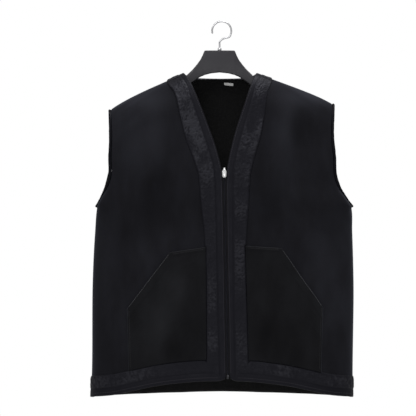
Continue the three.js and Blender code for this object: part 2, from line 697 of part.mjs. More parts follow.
// The pull tab hangs from the bail by its eye, whose top bar is the joint's axis.
function tabGeometry() {
  const shape = new THREE.Shape();
  const top = tab.topWidth / 2;
  const low = tab.width / 2;
  shape.moveTo(-top, tab.eye / 2);
  shape.lineTo(-low, -tab.length + 3);
  shape.quadraticCurveTo(-low, -tab.length, -low + 2.6, -tab.length);
  shape.lineTo(low - 2.6, -tab.length);
  shape.quadraticCurveTo(low, -tab.length, low, -tab.length + 3);
  shape.lineTo(top, tab.eye / 2);
  const hole = new THREE.Path();
  const side = tab.hole / 2;
  hole.moveTo(-side, -tab.eye / 2);
  hole.lineTo(side, -tab.eye / 2);
  hole.lineTo(side, -tab.eye / 2 - tab.holeLength);
  hole.lineTo(-side, -tab.eye / 2 - tab.holeLength);
  shape.holes.push(hole);
  return extrudedPlate(shape, tab.thickness).translate(0, tab.thickness / 2, 0);
}

function labelGeometry() {
  const cells = [];
  for (let r = 0; r <= 1; r += 0.5) {
    const row = [];
    for (let c = 0; c <= 6; c++) {
      const x = label.x + label.width * (c / 6 - 0.5);
      const z = label.top - label.height * r - label.tilt * (c / 6);
      const s = spot(sides.right, "back", x, dropAt(sides.right, x, z));
      row.push([moved(s, -skin - label.clear), moved(s, -skin - label.clear - label.thickness)]);
    }
    cells.push(row);
  }
  return wall(cells);
}

// The hanger's body: upright sections from one tip to the other. Each is rounded over the top and flat below.
function hangerGeometry() {
  const stations = [];
  for (const side of [sides.left, sides.right]) {
    const arm = [];
    const steps = 8;
    for (let i = 0; i <= steps; i++) {
      const share = i / steps;
      const across = lerp(side.neck + 4, hanger.tipAt, share);
      const ridge = spot(side, "back", across, 0);
      const seat = ridge.at.clone().addScaledVector(ridge.normal, -skin - gap);
      const end = share > 0.99 ? 0.7 : 1;
      const height = lerp(hanger.armHeight, hanger.tipHeight, share) * end;
      const depth = lerp(hanger.neckDepth, hanger.tipDepth, share) * end;
      arm.push({ x: seat.x, top: seat.z, bottom: seat.z - height, depth, round: height * 0.8 });
    }
    const plate = hangerPlate.slice(1).map((row) => ({ ...row, x: hanger.middle + side.sign * row.out }));
    stations.push(...plate, ...arm);
  }
  stations.push({ ...hangerPlate[0], x: hanger.middle });
  stations.sort((a, b) => a.x - b.x);
  const arc = 7;
  const rings = stations.map(({ x, top, bottom, depth, round }) => {
    const ring = [];
    for (let i = 0; i <= arc; i++) {
      const angle = (Math.PI * i) / arc;
      ring.push(new Vector3(x, depth * Math.cos(angle), top - round + round * Math.sin(angle)));
    }
    ring.push(new Vector3(x, -depth, bottom + 2), new Vector3(x, -depth + 2, bottom));
    ring.push(new Vector3(x, depth - 2, bottom), new Vector3(x, depth, bottom + 2));
    return ring;
  });
  return tube(rings, false);
}

// The hook: a shaft out of the plate, kinked to the right and carried round over the rail.
function hookGeometry() {
  const plateTop = hangerPlate[0].top;
  const centre = -hook.radius + hook.wire;
  const points = [new Vector3(hook.shaftX, 0, plateTop + gap), new Vector3(hook.shaftX, 0, hook.shaftTop - 8)];
  points.push(new Vector3(hook.shaftX + 0.6, 0, hook.shaftTop), new Vector3(4, 0, -37.5));
  for (let angle = hook.from; angle <= hook.to; angle += 18) {
    const a = THREE.MathUtils.degToRad(angle);
    points.push(new Vector3(hook.radius * Math.cos(a), 0, centre + hook.radius * Math.sin(a)));
  }
  const path = new THREE.CatmullRomCurve3(points, false, "centripetal");
  const round = new THREE.Shape().absarc(0, 0, hook.wire, 0, 2 * Math.PI);
  return new THREE.ExtrudeGeometry(round, { extrudePath: path, steps: 40, curveSegments: 5, bevelEnabled: false });
}

function ferruleGeometry() {
  const { radius, height, bore } = ferrule;
  const profile = [
    [bore, 0],
    [radius, 0],
    [radius - 0.4, height - 1.2],
    [radius - 1.4, height],
    [bore, height],
    [bore, 0],
  ].map(([r, z]) => new THREE.Vector2(r, z));
  return new THREE.LatheGeometry(profile, 20).rotateX(Math.PI / 2);
}

const paint = (color, roughness, metalness = 0) => new THREE.MeshStandardMaterial({ color, roughness, metalness });
const finishes = {
  suede: () => paint(0x1d1d20, 0.95),
  trim: () => paint(0x1c1c20, 0.45),
  pocket: () => paint(0x18181a, 0.9),
  tape: () => paint(0x121214, 0.85),
  metal: () => paint(0xd8d8d6, 0.25, 1),
  label: () => paint(0xf2f2f0, 0.8),
  plastic: () => paint(0x2b2b2f, 0.4),
};

const vest = new THREE.Group();
function add(name, geometry, finish, x = 0, y = 0, z = 0) {
  const mesh = new THREE.Mesh(geometry, finishes[finish]());
  mesh.name = name;
  mesh.position.set(x, y, z);
  vest.add(mesh);
}

add("back", wall(thick(backGrid)), "suede");
add("neck_band_back", neckBand(), "trim");
add("hem_band_back", hemBand(backGrid), "trim");
for (const side of Object.values(sides)) {
  const name = side.column;
  const grid = fronts[name];
  add(`front_${name}`, wall(thick(grid)), "suede");
  add(`front_band_${name}`, geometryOf(solidOf(frontBand(side)).intersect(prism(mitre(side, true)))), "trim");
  add(`hem_band_front_${name}`, geometryOf(solidOf(hemBand(grid)).intersect(prism(mitre(side, false)))), "trim");
  add(`armhole_binding_${name}`, binding(side), "trim");
  add(`pocket_${name}`, pocket(side), "pocket");
  add(`zip_half_${name}`, zipHalf(side), "tape");
}

// The slider sits at the foot of the V, on top of the closed zip, and its face stands a little proud of the bands.
const onEdge = (z) => {
  const across = edgeAcross(sides.right, z);
  return { x: lookup(frontEdge, "height", z, "middle"), y: cloth(sides.right, "front", across, dropAt(sides.right, across, z)).y };
};
const foot = onEdge(slider.top - 12);
const sliderY = foot.y - trim - gap - slider.proud;
add("zip_slider", sliderGeometry(), "metal", foot.x, sliderY, slider.top);
const eyeHeight = slider.top - bail.from - bail.rib - tab.eye / 2 - gap;
add("zip_pull_tab", tabGeometry(), "metal", foot.x, sliderY - bail.standOff / 2, eyeHeight);

const end = onEdge(zip.bottom);
const boxShape = new THREE.BoxGeometry(endBox.width, endBox.thickness, endBox.height);
add("zip_end_box", boxShape, "metal", end.x, end.y + endBox.thickness / 2, zip.bottom - gap - endBox.height / 2);
add("size_label", labelGeometry(), "label");
add("hanger", hangerGeometry(), "plastic");
add("hook", hookGeometry(), "metal");
add("hook_ferrule", ferruleGeometry(), "metal", hook.shaftX, 0, hangerPlate[0].top + gap);

export default vest;
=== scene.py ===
import math

import bmesh
import bpy
import numpy as np
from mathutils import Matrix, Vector


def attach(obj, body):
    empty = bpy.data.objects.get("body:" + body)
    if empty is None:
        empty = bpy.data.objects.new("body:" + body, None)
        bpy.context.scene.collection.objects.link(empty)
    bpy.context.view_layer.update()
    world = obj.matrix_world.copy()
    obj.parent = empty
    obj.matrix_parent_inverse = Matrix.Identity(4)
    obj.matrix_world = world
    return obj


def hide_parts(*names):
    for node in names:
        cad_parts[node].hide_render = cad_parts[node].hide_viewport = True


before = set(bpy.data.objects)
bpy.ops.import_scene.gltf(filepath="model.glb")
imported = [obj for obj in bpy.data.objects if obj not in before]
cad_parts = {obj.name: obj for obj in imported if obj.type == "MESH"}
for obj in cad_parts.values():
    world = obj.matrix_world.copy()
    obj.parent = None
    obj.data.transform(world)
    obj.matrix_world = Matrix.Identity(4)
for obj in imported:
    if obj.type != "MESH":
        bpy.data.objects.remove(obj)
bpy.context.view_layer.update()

# A black sheepskin vest on its hanger. The shapes are worked out in millimetres, in the frame of the CAD
# model, and are put into the meshes in metres.
scene = bpy.context.scene

form = {
    "skin": 6.0,  # sheepskin with its wool
    "gap": 0.3,  # between one piece and the next
    "trim": 1.4,  # leather of the bands
    "bandWidth": 50.0,
    "hemHeight": 46.0,  # of the hem bands
    "neckHeight": -118.0,  # where the shoulder ridge starts beside the neck
    "neckPeak": 38.0,  # how far the ridge's line rises across the neck
    "neckSag": 9.5,  # the back neckline hangs lower by this in its middle
    "underarm": -426.0,
    "frontFoot": -813.0,  # bottom edge beside the zip
    "sideFoot": -856.0,  # bottom edge at the sides
    "hemAt": -850.0,  # where the width of the hem bands is taken
    "footRise": 8.0,  # the bottom edge rounds up beside the zip by this,
    "footReach": 5.0,  # over about this width
    "seamStop": 0.5,  # the panels stop this far short of the side seam,
    "ridgeStop": 0.3,  # and this far short of the shoulder ridge
    "drape": 80.0,  # fall over which the cloth rounds over the shoulder
    "corner": 115.0,  # width over which it rounds to the side
    "shoulderTurn": math.radians(52),  # how far it turns there at the shoulder, and a quarter turn below
    "turnRise": 100.0,  # height above the underarm over which that changes
    "scoop": 7.0,  # the front is cut in by this beside the armhole,
    "scoopFrom": -300.0,  # below this height
    "crown": 0.1,  # share of its depth that the cloth loses towards the side
    "foldEnd": 45.0,  # how softly a fold ends
}
armDepth = {"front": 40.0, "back": 38.0}
facing = {"front": -1.0, "back": 1.0}
sides = {"left": {"sign": -1.0, "shoulderDrop": 81.0}, "right": {"sign": 1.0, "shoulderDrop": 68.0}}

# Outlines. Each row gives a height, or for the hems a distance from the middle, and the value there.
halfWidths = {
    "left": [(-860, 299.6), (-785, 296.8), (-627, 296.1), (-548, 293.8), (-477, 289.7), (-426, 285.1),
             (-406, 277.5), (-376, 263.3), (-337, 253.4), (-293, 249), (-254, 248.8), (-190, 252.8)],
    "right": [(-860, 299.8), (-785, 299.8), (-627, 302), (-548, 300.9), (-477, 298.7), (-426, 297),
              (-406, 286), (-376, 268), (-337, 256.5), (-293, 249.2), (-254, 247), (-190, 250.8)],
}
depths = {
    "front": [(-860, 60), (-650, 56), (-480, 53), (-330, 52), (-220, 48), (-118, 45)],
    "back": [(-860, 56), (-650, 53), (-480, 52), (-330, 56), (-220, 53), (-118, 46)],
}
# The front edges: half their distance apart, and their middle, which leans a little.
frontHalf = [(-810, 4), (-372, 4), (-356, 5.7), (-342, 6), (-330, 7.4), (-290, 16.7), (-248, 29.7),
             (-193, 49), (-142, 68.7), (-120.5, 80.6), (-118, 82.8)]
frontMiddle = [(-810, 13.3), (-372, 5.8), (-356, 5.5), (-342, 5.2), (-330, 5), (-290, 3.7), (-248, 2),
               (-193, 0.8), (-142, -1.2), (-120.5, -3.2), (-118, -3.8)]
hems = {
    "front": [(0, -813), (60, -814.5), (145, -824), (202, -836), (255, -847), (370, -856)],
    "back": [(0, -849), (60, -850), (145, -852.5), (202, -855), (255, -856), (370, -856)],
}
# Soft folds: face, from x and z, to x and z, spread, lift.
folds = [
    ("front", 156, -235, 92, -407, 20, 4), ("front", 182, -240, 150, -400, 18, -4),
    ("front", -168, -215, -150, -320, 30, 4), ("front", -118, -330, -166, -470, 22, -4),
    ("front", -60, -570, -146, -740, 20, 3.5), ("front", -108, -550, -182, -700, 18, -2.5),
    ("front", 150, -600, 90, -745, 20, -3.5), ("front", 205, -600, 150, -770, 22, 2.5),
    ("back", -112, -250, -138, -560, 30, 4), ("back", 108, -240, 126, -530, 28, 4),
    ("back", 0, -300, 8, -640, 38, -4), ("back", -200, -620, -212, -850, 28, 4),
    ("back", 190, -600, 206, -850, 28, 4), ("back", -92, -640, -98, -850, 26, -3.5),
    ("back", 84, -660, 92, -850, 26, -3.5),
]
# Width of the front band as a share of its full one, by height.
bandShares = [(-860, 0.87), (-500, 0.85), (-390, 1), (-250, 1), (-193, 0.86), (-145, 0.68), (-118, 0.66)]
neckBandShare = 0.72
# The rows beside the armhole meet the front edge at these heights first, up to the foot of the V.
slitStops = [-422.0, -390.0, -354.9, -330.0]
slitShare = 3 / 14  # of the armhole's rows


# A smooth curve through the rows of a table, level beyond its ends: cubics with slopes from the neighbours.
def lookup(table, at):
    x, y = np.array(table, float).T
    slope = np.empty_like(y)
    slope[1:-1] = (y[2:] - y[:-2]) / (x[2:] - x[:-2])
    slope[0] = (y[1] - y[0]) / (x[1] - x[0])
    slope[-1] = (y[-1] - y[-2]) / (x[-1] - x[-2])
    at = np.clip(at, x[0], x[-1])
    i = np.clip(np.searchsorted(x, at, side="right") - 1, 0, len(x) - 2)
    step = x[i + 1] - x[i]
    t = (at - x[i]) / step
    return (y[i] * (2 * t**3 - 3 * t**2 + 1) + y[i + 1] * (3 * t**2 - 2 * t**3)
            + slope[i] * step * (t**3 - 2 * t**2 + t) + slope[i + 1] * step * (t**3 - t**2))


# From 0 to 1 between two values, level at both ends.
def smoothStep(low, high, at):
    t = np.clip((np.asarray(at, float) - low) / (high - low), 0, 1)
    return t * t * (3 - 2 * t)


# From a to b by the share t.
def mix(a, b, t):
    return a + (b - a) * t


# A rounded edge: a quarter circle as the share goes from 0 at the rim to 1.
def rounded(share, least=0.0):
    return np.sqrt(1 - (1 - np.clip(share, least, 1)) ** 2)


# Vectors brought to a length of 1.
def unit(vectors):
    return vectors / np.linalg.norm(vectors, axis=-1, keepdims=True)


# Distance along a curve from its first point to each.
def lengthsAlong(points):
    return np.concatenate([[0], np.cumsum(np.linalg.norm(np.diff(points, axis=0), axis=1))])


# Each column of a table, read on straight lines between its rows.
def readBetween(at, x, table):
    return np.stack([np.interp(at, x, column) for column in table.T], 1)


# How far the cloth falls over a distance down from the ridge: a quarter ellipse, then straight down.
def fallOf(drop):
    drop = np.asarray(drop, float)
    roll = np.minimum(drop / form["drape"], math.pi / 2)
    return np.where(drop < form["drape"] * math.pi / 2, form["drape"] * (1 - np.cos(roll)),
                    form["drape"] + drop - form["drape"] * math.pi / 2)


# The inverse of fallOf.
def dropOf(fall):
    fall = np.asarray(fall, float)
    roll = form["drape"] * np.arccos(1 - np.clip(fall, 0, form["drape"]) / form["drape"])
    return np.where(fall < form["drape"], roll, form["drape"] * math.pi / 2 + fall - form["drape"])


# How far the cloth turns towards the side at a height.
def turnAt(z):
    rise = smoothStep(form["underarm"], form["underarm"] + form["turnRise"], z)
    return mix(math.pi / 2, form["shoulderTurn"], rise)


# Half the width of the vest at a height, less the front's scoop, which swells and fades as a squared sine.
def halfWidthAt(side, face, z):
    along = np.clip((z - form["underarm"]) / (form["scoopFrom"] - form["underarm"]), 0, 1)
    cut = form["scoop"] * np.sin(math.pi * along) ** 2 if face == "front" else 0
    return lookup(halfWidths[side], z) - cut


# Distance round the cloth from the middle to the side seam or armhole: level, then the length of the turn.
def outerEdge(side, face, z):
    turn = turnAt(z)
    return halfWidthAt(side, face, z) - form["corner"] + form["corner"] * turn / np.sin(turn)


# Distance from the middle to the front edge, with room for the band that folds round it.
def edgeAcross(side, z):
    return lookup(frontHalf, z) + sides[side]["sign"] * lookup(frontMiddle, z) + form["trim"] + form["gap"]


for sideName, values in sides.items():
    values["neck"] = float(edgeAcross(sideName, form["neckHeight"]))
    values["tipHeight"] = form["neckHeight"] - values["shoulderDrop"]
    values["tip"] = float(outerEdge(sideName, "back", values["tipHeight"]))


# Height of the shoulder ridge: one straight line across the neck and another down the shoulder.
def ridgeHeight(side, across):
    s = sides[side]
    peak = form["neckHeight"] + form["neckPeak"] * (1 - across / s["neck"])
    line = form["neckHeight"] - s["shoulderDrop"] * (across - s["neck"]) / (s["tip"] - s["neck"])
    return np.where(across < s["neck"], peak, line)


# Distance down the cloth from the ridge to a height.
def dropAt(side, across, z):
    return dropOf(ridgeHeight(side, across) - z)


# Each fold is a smooth bell across its line, dying out at its ends.
def foldLift(face, x, z, rows=folds):
    total = np.zeros_like(x)
    for onFace, x0, z0, x1, z1, spread, lift in rows:
        if onFace != face:
            continue
        length = math.hypot(x1 - x0, z1 - z0)
        ux, uz = (x1 - x0) / length, (z1 - z0) / length
        along = (x - x0) * ux + (z - z0) * uz
        away = (x - x0) * uz - (z - z0) * ux
        past = np.maximum(np.maximum(-along, along - length), 0)
        total += lift * np.exp(-((away / spread) ** 2) - (past / form["foldEnd"]) ** 2)
    return total


# The outer face of the cloth at a distance round the body from its middle and a distance down from the
# shoulder ridge. It is level across the body and turns to the side through part of an ellipse, and rounds
# over the shoulder through a quarter of another. The armhole's edge bows out as half an ellipse.
def cloth(side, face, across, drop):
    s = sides[side]
    across, drop = np.broadcast_arrays(np.asarray(across, float), np.asarray(drop, float))
    roll = np.clip(drop / form["drape"], -math.pi / 2, math.pi / 2)
    z = ridgeHeight(side, across) - np.where(drop < 0, form["drape"] * (1 - np.cos(roll)), fallOf(drop))
    half = halfWidthAt(side, face, z)
    turn = turnAt(z)
    level = half - form["corner"]
    angle = np.maximum(across - level, 0) * np.sin(turn) / form["corner"]
    x = np.where(across < level, across, level + form["corner"] * np.sin(angle) / np.sin(turn))
    share = (np.cos(angle) - np.cos(turn)) / (1 - np.cos(turn))
    top = ridgeHeight(side, np.minimum(across, s["tip"]))
    up = 2 * (z - form["underarm"]) / (top - form["underarm"]) - 1
    edge = np.sign(drop) * armDepth[face] * np.sqrt(np.maximum(1 - up * up, 0))
    full = lookup(depths[face], z) * (1 - form["crown"] * (x / half) ** 2) + foldLift(face, s["sign"] * x, z)
    y = facing[face] * (edge + (full * np.sin(roll) - edge) * share)
    return np.stack([s["sign"] * x, y, z], -1)


# Outward normal of the cloth, from its steps across and down.
def clothNormal(side, face, across, drop, h=0.5):
    du = cloth(side, face, across + h, drop) - cloth(side, face, across - h, drop)
    dv = cloth(side, face, across, drop + h) - cloth(side, face, across, drop - h)
    return unit(np.cross(du, dv) * (sides[side]["sign"] * facing[face]))


# The cloth's points together with their normals.
def clothGrid(side, face, across, drop):
    return cloth(side, face, across, drop), clothNormal(side, face, across, drop)


# Height of the bottom edge; the front's rounds up beside the zip.
def hemAt(side, face, across):
    z = lookup(hems[face], np.maximum(across, 0))
    if face == "front":
        past = across - edgeAcross(side, form["frontFoot"])
        z = z + form["footRise"] * np.exp(-past / form["footReach"])
    return z


# Height on the armhole's edge, for even steps round half an ellipse.
def armHeight(side, share):
    half = (sides[side]["tipHeight"] - form["underarm"]) / 2
    return form["underarm"] + half * (1 - np.cos(math.pi * share))


# Height on the front edge for the same rows: the slit's stops first, then up the V.
def edgeHeight(share):
    foot = np.interp(share, np.linspace(0, slitShare, len(slitStops)), slitStops)
    left = np.clip((1 - share) / (1 - slitShare), 0, 1) ** 1.4
    above = form["neckHeight"] - fallOf(dropOf(form["neckHeight"] - slitStops[-1]) * left)
    return np.where(share <= slitShare, foot, above)


# The lines of a front panel: across and drop on a grid, from the hem up (rows) and from the front edge out
# (columns, in millimetres from the edge for the band, then as shares of what is left).
def frontLines(side, bandStops, restShares, bodyRows, armRows):
    up = np.linspace(0, 1, bodyRows)[:, None]
    arm = (np.arange(1, armRows + 1) / armRows)[:, None]
    bandStops, restShares = np.asarray(bandStops, float)[None], np.asarray(restShares, float)[None]

    def stops(inner, outer, scale):
        last = inner + form["bandWidth"] * scale
        return np.concatenate([inner + bandStops * scale, last + (outer - last) * restShares], 1)

    start = edgeAcross(side, slitStops[0])
    outer = outerEdge(side, "front", form["underarm"]) - form["seamStop"]
    topRow = stops(np.array([[start]]), np.array([[outer]]), lookup(bandShares, slitStops[0]))
    topDrop = mix(dropAt(side, start, slitStops[0]), dropAt(side, outer, form["underarm"]),
                  (topRow - start) / (outer - start))
    z = mix(form["frontFoot"], slitStops[0], up)
    edge = outerEdge(side, "front", mix(form["sideFoot"], form["underarm"], up)) - form["seamStop"]
    bodyAcross = stops(edgeAcross(side, z), edge, lookup(bandShares, z))
    bodyDrop = mix(dropAt(side, bodyAcross, hemAt(side, "front", bodyAcross)), topDrop, up)

    z = edgeHeight(arm)
    inner = edgeAcross(side, z)
    edge = outerEdge(side, "front", armHeight(side, arm))
    lean = (edgeAcross(side, z + 4) - edgeAcross(side, z - 4)) / 8
    armAcross = stops(inner, edge, np.minimum(np.hypot(1, lean), 1.2) * lookup(bandShares, z))
    share = (armAcross - inner) / (edge - inner)
    armDrop = mix(dropAt(side, inner, z), dropAt(side, edge, armHeight(side, arm)), share)
    armDrop[-1] = form["ridgeStop"]
    return np.concatenate([bodyAcross, armAcross]), np.concatenate([bodyDrop, armDrop])


# The back's neckline sags in the middle, as a flat curve.
def backNeckDrop(side, across):
    share = np.abs(across) / sides[side]["neck"]
    return dropAt(side, np.abs(across), form["neckHeight"] - form["neckSag"] + form["neckSag"] * share**6)


# The same for half of the back, from its middle to the side.
def backLines(side, neckCount, restCount, bodyRows, armRows):
    up = np.linspace(0, 1, bodyRows)[:, None]
    arm = (np.arange(1, armRows + 1) / armRows)[:, None]
    neck = sides[side]["neck"]
    inside = neck * np.sin(math.pi / 2 * np.arange(neckCount) / neckCount)[None]
    shares = np.linspace(0, 1, restCount)[None]

    def stops(outer):
        return np.concatenate([np.repeat(inside, len(outer), 0), neck + (outer - neck) * shares], 1)

    outer = outerEdge(side, "back", mix(form["sideFoot"], form["underarm"], up)) - form["seamStop"]
    bodyAcross = stops(outer)
    bodyDrop = mix(dropAt(side, bodyAcross, hemAt(side, "back", bodyAcross)),
                   dropAt(side, bodyAcross, form["underarm"]), up)
    z = armHeight(side, arm)
    edge = outerEdge(side, "back", z)
    armAcross = stops(edge)
    top = np.where(armAcross < neck, backNeckDrop(side, armAcross), 0)
    inner = mix(top, dropAt(side, armAcross, form["underarm"]), (1 - arm) ** 1.4)
    armDrop = mix(inner, dropAt(side, edge, z), np.maximum(armAcross - neck, 0) / (edge - neck))
    armDrop[-1] = np.where(armAcross[-1] < neck, armDrop[-1], form["ridgeStop"])
    return np.concatenate([bodyAcross, armAcross]), np.concatenate([bodyDrop, armDrop])


# Points moved out along the normals. Within reach of the plane between front and back they are drawn up to
# it, so that the seams close, and none crosses it.
seamLook = {"reach": 3.0, "pull": 0.8, "rest": 0.004}


def offset(points, normals, out):
    moved = points + normals * np.asarray(out)[..., None]
    face = np.sign(points[..., 1])
    away = face * moved[..., 1]
    drawn = (away - seamLook["pull"]) * seamLook["reach"] / (seamLook["reach"] - seamLook["pull"])
    moved[..., 1] = face * np.where(away < seamLook["reach"], np.maximum(drawn, seamLook["rest"]), away)
    return moved


# Smooth random heights from 0 to 1 over a lattice of unit cells, eased between its corners.
def noise(u, v, seed):
    lattice = np.random.default_rng(seed).random((97, 89))
    iu, iv = np.floor(u).astype(int), np.floor(v).astype(int)
    fu, fv = u - iu, v - iv
    fu, fv = fu**3 * (fu * (6 * fu - 15) + 10), fv**3 * (fv * (6 * fv - 15) + 10)
    u0, u1, v0, v1 = iu % 97, (iu + 1) % 97, iv % 89, (iv + 1) % 89
    return ((lattice[u0, v0] * (1 - fu) + lattice[u1, v0] * fu) * (1 - fv)
            + (lattice[u0, v1] * (1 - fu) + lattice[u1, v1] * fu) * fv)


# Sharp crests where the noise crosses its middle, as in wrinkled leather.
def crests(u, v, seed):
    return 1 - np.abs(2 * noise(u, v, seed) - 1)


# A mesh from points in millimetres and faces of one size, turned over if its faces look inwards.
def addMesh(name, points, faces, materials, faceMaterial=None, attributes=None, smooth=True):
    corners = points[faces]
    turned = np.cross(corners[:, 1] - corners[:, 0], corners[:, 2] - corners[:, 0])
    if faces.shape[1] == 4:
        turned = turned + np.cross(corners[:, 2] - corners[:, 0], corners[:, 3] - corners[:, 0])
    if np.sum(corners.mean(1) * turned) < 0:
        faces = faces[:, ::-1]
    mesh = bpy.data.meshes.new(name)
    mesh.vertices.add(len(points))
    mesh.vertices.foreach_set("co", (points / 1000).ravel())
    mesh.loops.add(faces.size)
    mesh.loops.foreach_set("vertex_index", faces.ravel().astype(np.int32))
    mesh.polygons.add(len(faces))
    mesh.polygons.foreach_set("loop_start", np.arange(0, faces.size, faces.shape[1], dtype=np.int32))
    if faceMaterial is not None:
        mesh.polygons.foreach_set("material_index", faceMaterial.astype(np.int32))
    mesh.update(calc_edges=True)
    mesh.polygons.foreach_set("use_smooth", np.full(len(faces), smooth))
    for label, values in (attributes or {}).items():
        layer = mesh.attributes.new(label, "FLOAT", "POINT")
        layer.data.foreach_set("value", np.asarray(values, np.float32).ravel())
    mesh.validate()
    for material in materials:
        mesh.materials.append(material)
    piece = bpy.data.objects.new(name, mesh)
    scene.collection.objects.link(piece)
    return piece


# Four-sided faces of a grid whose points follow each other row by row.
def gridFaces(rows, columns, start=0):
    r, c = np.meshgrid(np.arange(rows - 1), np.arange(columns - 1), indexing="ij")
    a = (start + r * columns + c).ravel()
    return np.stack([a, a + 1, a + columns + 1, a + columns], 1)


# A closed wall between an outer and an inner grid of points, with a rim round its four edges. The inner face
# and the rim can take the second material.
def addWall(name, outer, inner, materials, attributes=None):
    rows, columns = outer.shape[:2]
    count = rows * columns
    points = np.concatenate([outer.reshape(-1, 3), inner.reshape(-1, 3)])
    front = gridFaces(rows, columns)
    back = gridFaces(rows, columns, count)[:, ::-1]
    index = np.arange(count).reshape(rows, columns)
    loop = np.concatenate([index[0], index[1:, -1], index[-1, -2::-1], index[-2:0:-1, 0]])
    following = np.roll(loop, -1)
    faces = np.concatenate([front, back, np.stack([following, loop, loop + count, following + count], 1)])
    which = np.where(np.arange(len(faces)) < len(front), 0, len(materials) - 1)
    attributes = {label: np.stack([values, values]) for label, values in (attributes or {}).items()}
    return addMesh(name, points, faces, materials, which, attributes)


# A tube through rings of points (stations, points round, 3). Its ends meet, or are capped by a middle point.
def addTube(name, rings, materials, closed=False, attributes=None):
    stations, around = rings.shape[:2]
    points = rings.reshape(-1, 3)
    r, i = np.meshgrid(np.arange(stations if closed else stations - 1), np.arange(around), indexing="ij")
    a, b = (r * around + i).ravel(), (r * around + (i + 1) % around).ravel()
    c = ((r + 1) % stations * around + (i + 1) % around).ravel()
    d = ((r + 1) % stations * around + i).ravel()
    if closed:
        return addMesh(name, points, np.stack([a, b, c, d], 1), materials, None, attributes)
    points = np.concatenate([points, rings[:1].mean(1), rings[-1:].mean(1)])
    ring = np.arange(around)
    following = (ring + 1) % around
    first, last = np.full(around, stations * around), np.full(around, stations * around + 1)
    base = (stations - 1) * around
    faces = [(a, b, c), (a, c, d), (first, following, ring), (last, base + ring, base + following)]
    return addMesh(name, points, np.concatenate([np.stack(part, 1) for part in faces]), materials)


# Many copies of a small shape, each set by its place and its three directions.
def addCopies(name, shape, faces, places, axes, materials):
    points = places[:, None] + np.einsum("sk,nkd->nsd", shape, axes)
    every = faces[None] + (np.arange(len(places)) * len(shape))[:, None, None]
    return addMesh(name, points.reshape(-1, 3), every.reshape(-1, faces.shape[1]), materials)


# Fastens a piece to its body and hides the CAD nodes that it stands for.
def settle(piece, nodes=(), body="garment"):
    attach(piece, body)
    if nodes:
        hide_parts(*nodes)
    return piece


# The nodes of one material. Each method adds some and returns the socket that carries their result.
class Nodes:
    def __init__(self, name):
        self.material = bpy.data.materials.new(name)
        self.material.use_nodes = True
        self.tree = self.material.node_tree
        self.shader = self.tree.nodes["Principled BSDF"]
        self.place = self.add("ShaderNodeTexCoord").outputs["Object"]

    def add(self, kind, **values):
        node = self.tree.nodes.new(kind)
        for key, value in values.items():
            if hasattr(node, key):
                setattr(node, key, value)
            else:
                node.inputs[key.replace("_", " ")].default_value = value
        return node

    # A socket is linked, or set to a colour or a number.
    def feed(self, socket, value):
        if isinstance(value, bpy.types.NodeSocket):
            self.tree.links.new(value, socket)
        elif isinstance(value, tuple):
            socket.default_value = (*value, 1)
        elif value is not None:
            socket.default_value = value

    def texture(self, kind, output, stretch=(1, 1, 1), **values):
        mapping = self.add("ShaderNodeMapping", Scale=stretch)
        node = self.add(kind, **values)
        self.feed(mapping.inputs["Vector"], self.place)
        self.feed(node.inputs["Vector"], mapping.outputs["Vector"])
        return node.outputs[output]

    def noise(self, scale, detail=4, stretch=(1, 1, 1), roughness=0.55):
        return self.texture("ShaderNodeTexNoise", "Fac", stretch, Scale=scale, Detail=detail,
                            Roughness=roughness)

    def cells(self, scale, feature="F1"):
        return self.texture("ShaderNodeTexVoronoi", "Distance", feature=feature, Scale=scale)

    def ribs(self, scale, direction):
        return self.texture("ShaderNodeTexWave", "Fac", wave_type="BANDS", bands_direction=direction,
                            Scale=scale)

    def ramp(self, value, stops):
        node = self.add("ShaderNodeValToRGB")
        element = node.color_ramp.elements
        element[0].position, element[0].color = stops[0][0], (*stops[0][1], 1)
        element[1].position, element[1].color = stops[-1][0], (*stops[-1][1], 1)
        for at, colour in stops[1:-1]:
            element.new(at).color = (*colour, 1)
        self.feed(node.inputs["Fac"], value)
        return node.outputs["Color"]

    def span(self, value, low, high, fromLow=0.3, fromHigh=0.7):
        node = self.add("ShaderNodeMapRange", From_Min=fromLow, From_Max=fromHigh, To_Min=low, To_Max=high)
        self.feed(node.inputs["Value"], value)
        return node.outputs["Result"]

    def mixed(self, factor, a, b):
        node = self.add("ShaderNodeMix", data_type="RGBA")
        for value, socket in ((factor, node.inputs[0]), (a, node.inputs[6]), (b, node.inputs[7])):
            self.feed(socket, value)
        return node.outputs[2]

    def multiplied(self, a, b):
        node = self.add("ShaderNodeMath", operation="MULTIPLY")
        self.feed(node.inputs[0], a)
        self.feed(node.inputs[1], b)
        return node.outputs["Value"]

    def attribute(self, name):
        return self.add("ShaderNodeAttribute", attribute_name=name).outputs["Fac"]

    def bump(self, value, strength, distance, under=None):
        node = self.add("ShaderNodeBump", Strength=strength, Distance=distance)
        self.feed(node.inputs["Height"], value)
        self.feed(node.inputs["Normal"], under)
        return node.outputs["Normal"]

    def finish(self, colour, roughness, normal=None, **constants):
        self.feed(self.shader.inputs["Base Color"], colour)
        self.feed(self.shader.inputs["Roughness"], roughness)
        self.feed(self.shader.inputs["Normal"], normal)
        for key, value in constants.items():
            self.shader.inputs[key.replace("_", " ")].default_value = value
        return self.material


# A colour made darker or lighter by a share.
def scaled(colour, share):
    return tuple(share * c for c in colour)


suedeLook = {"dark": (0.0058, 0.0056, 0.0072), "mid": (0.0098, 0.0096, 0.0122),
             "light": (0.0185, 0.0190, 0.0240)}
trimLook = {"dark": (0.0044, 0.0042, 0.0064), "mid": (0.0082, 0.0080, 0.0108),
            "light": (0.0290, 0.0290, 0.0350)}
woolLook = {"dark": (0.0025, 0.0025, 0.0028), "light": (0.0075, 0.0074, 0.0082)}
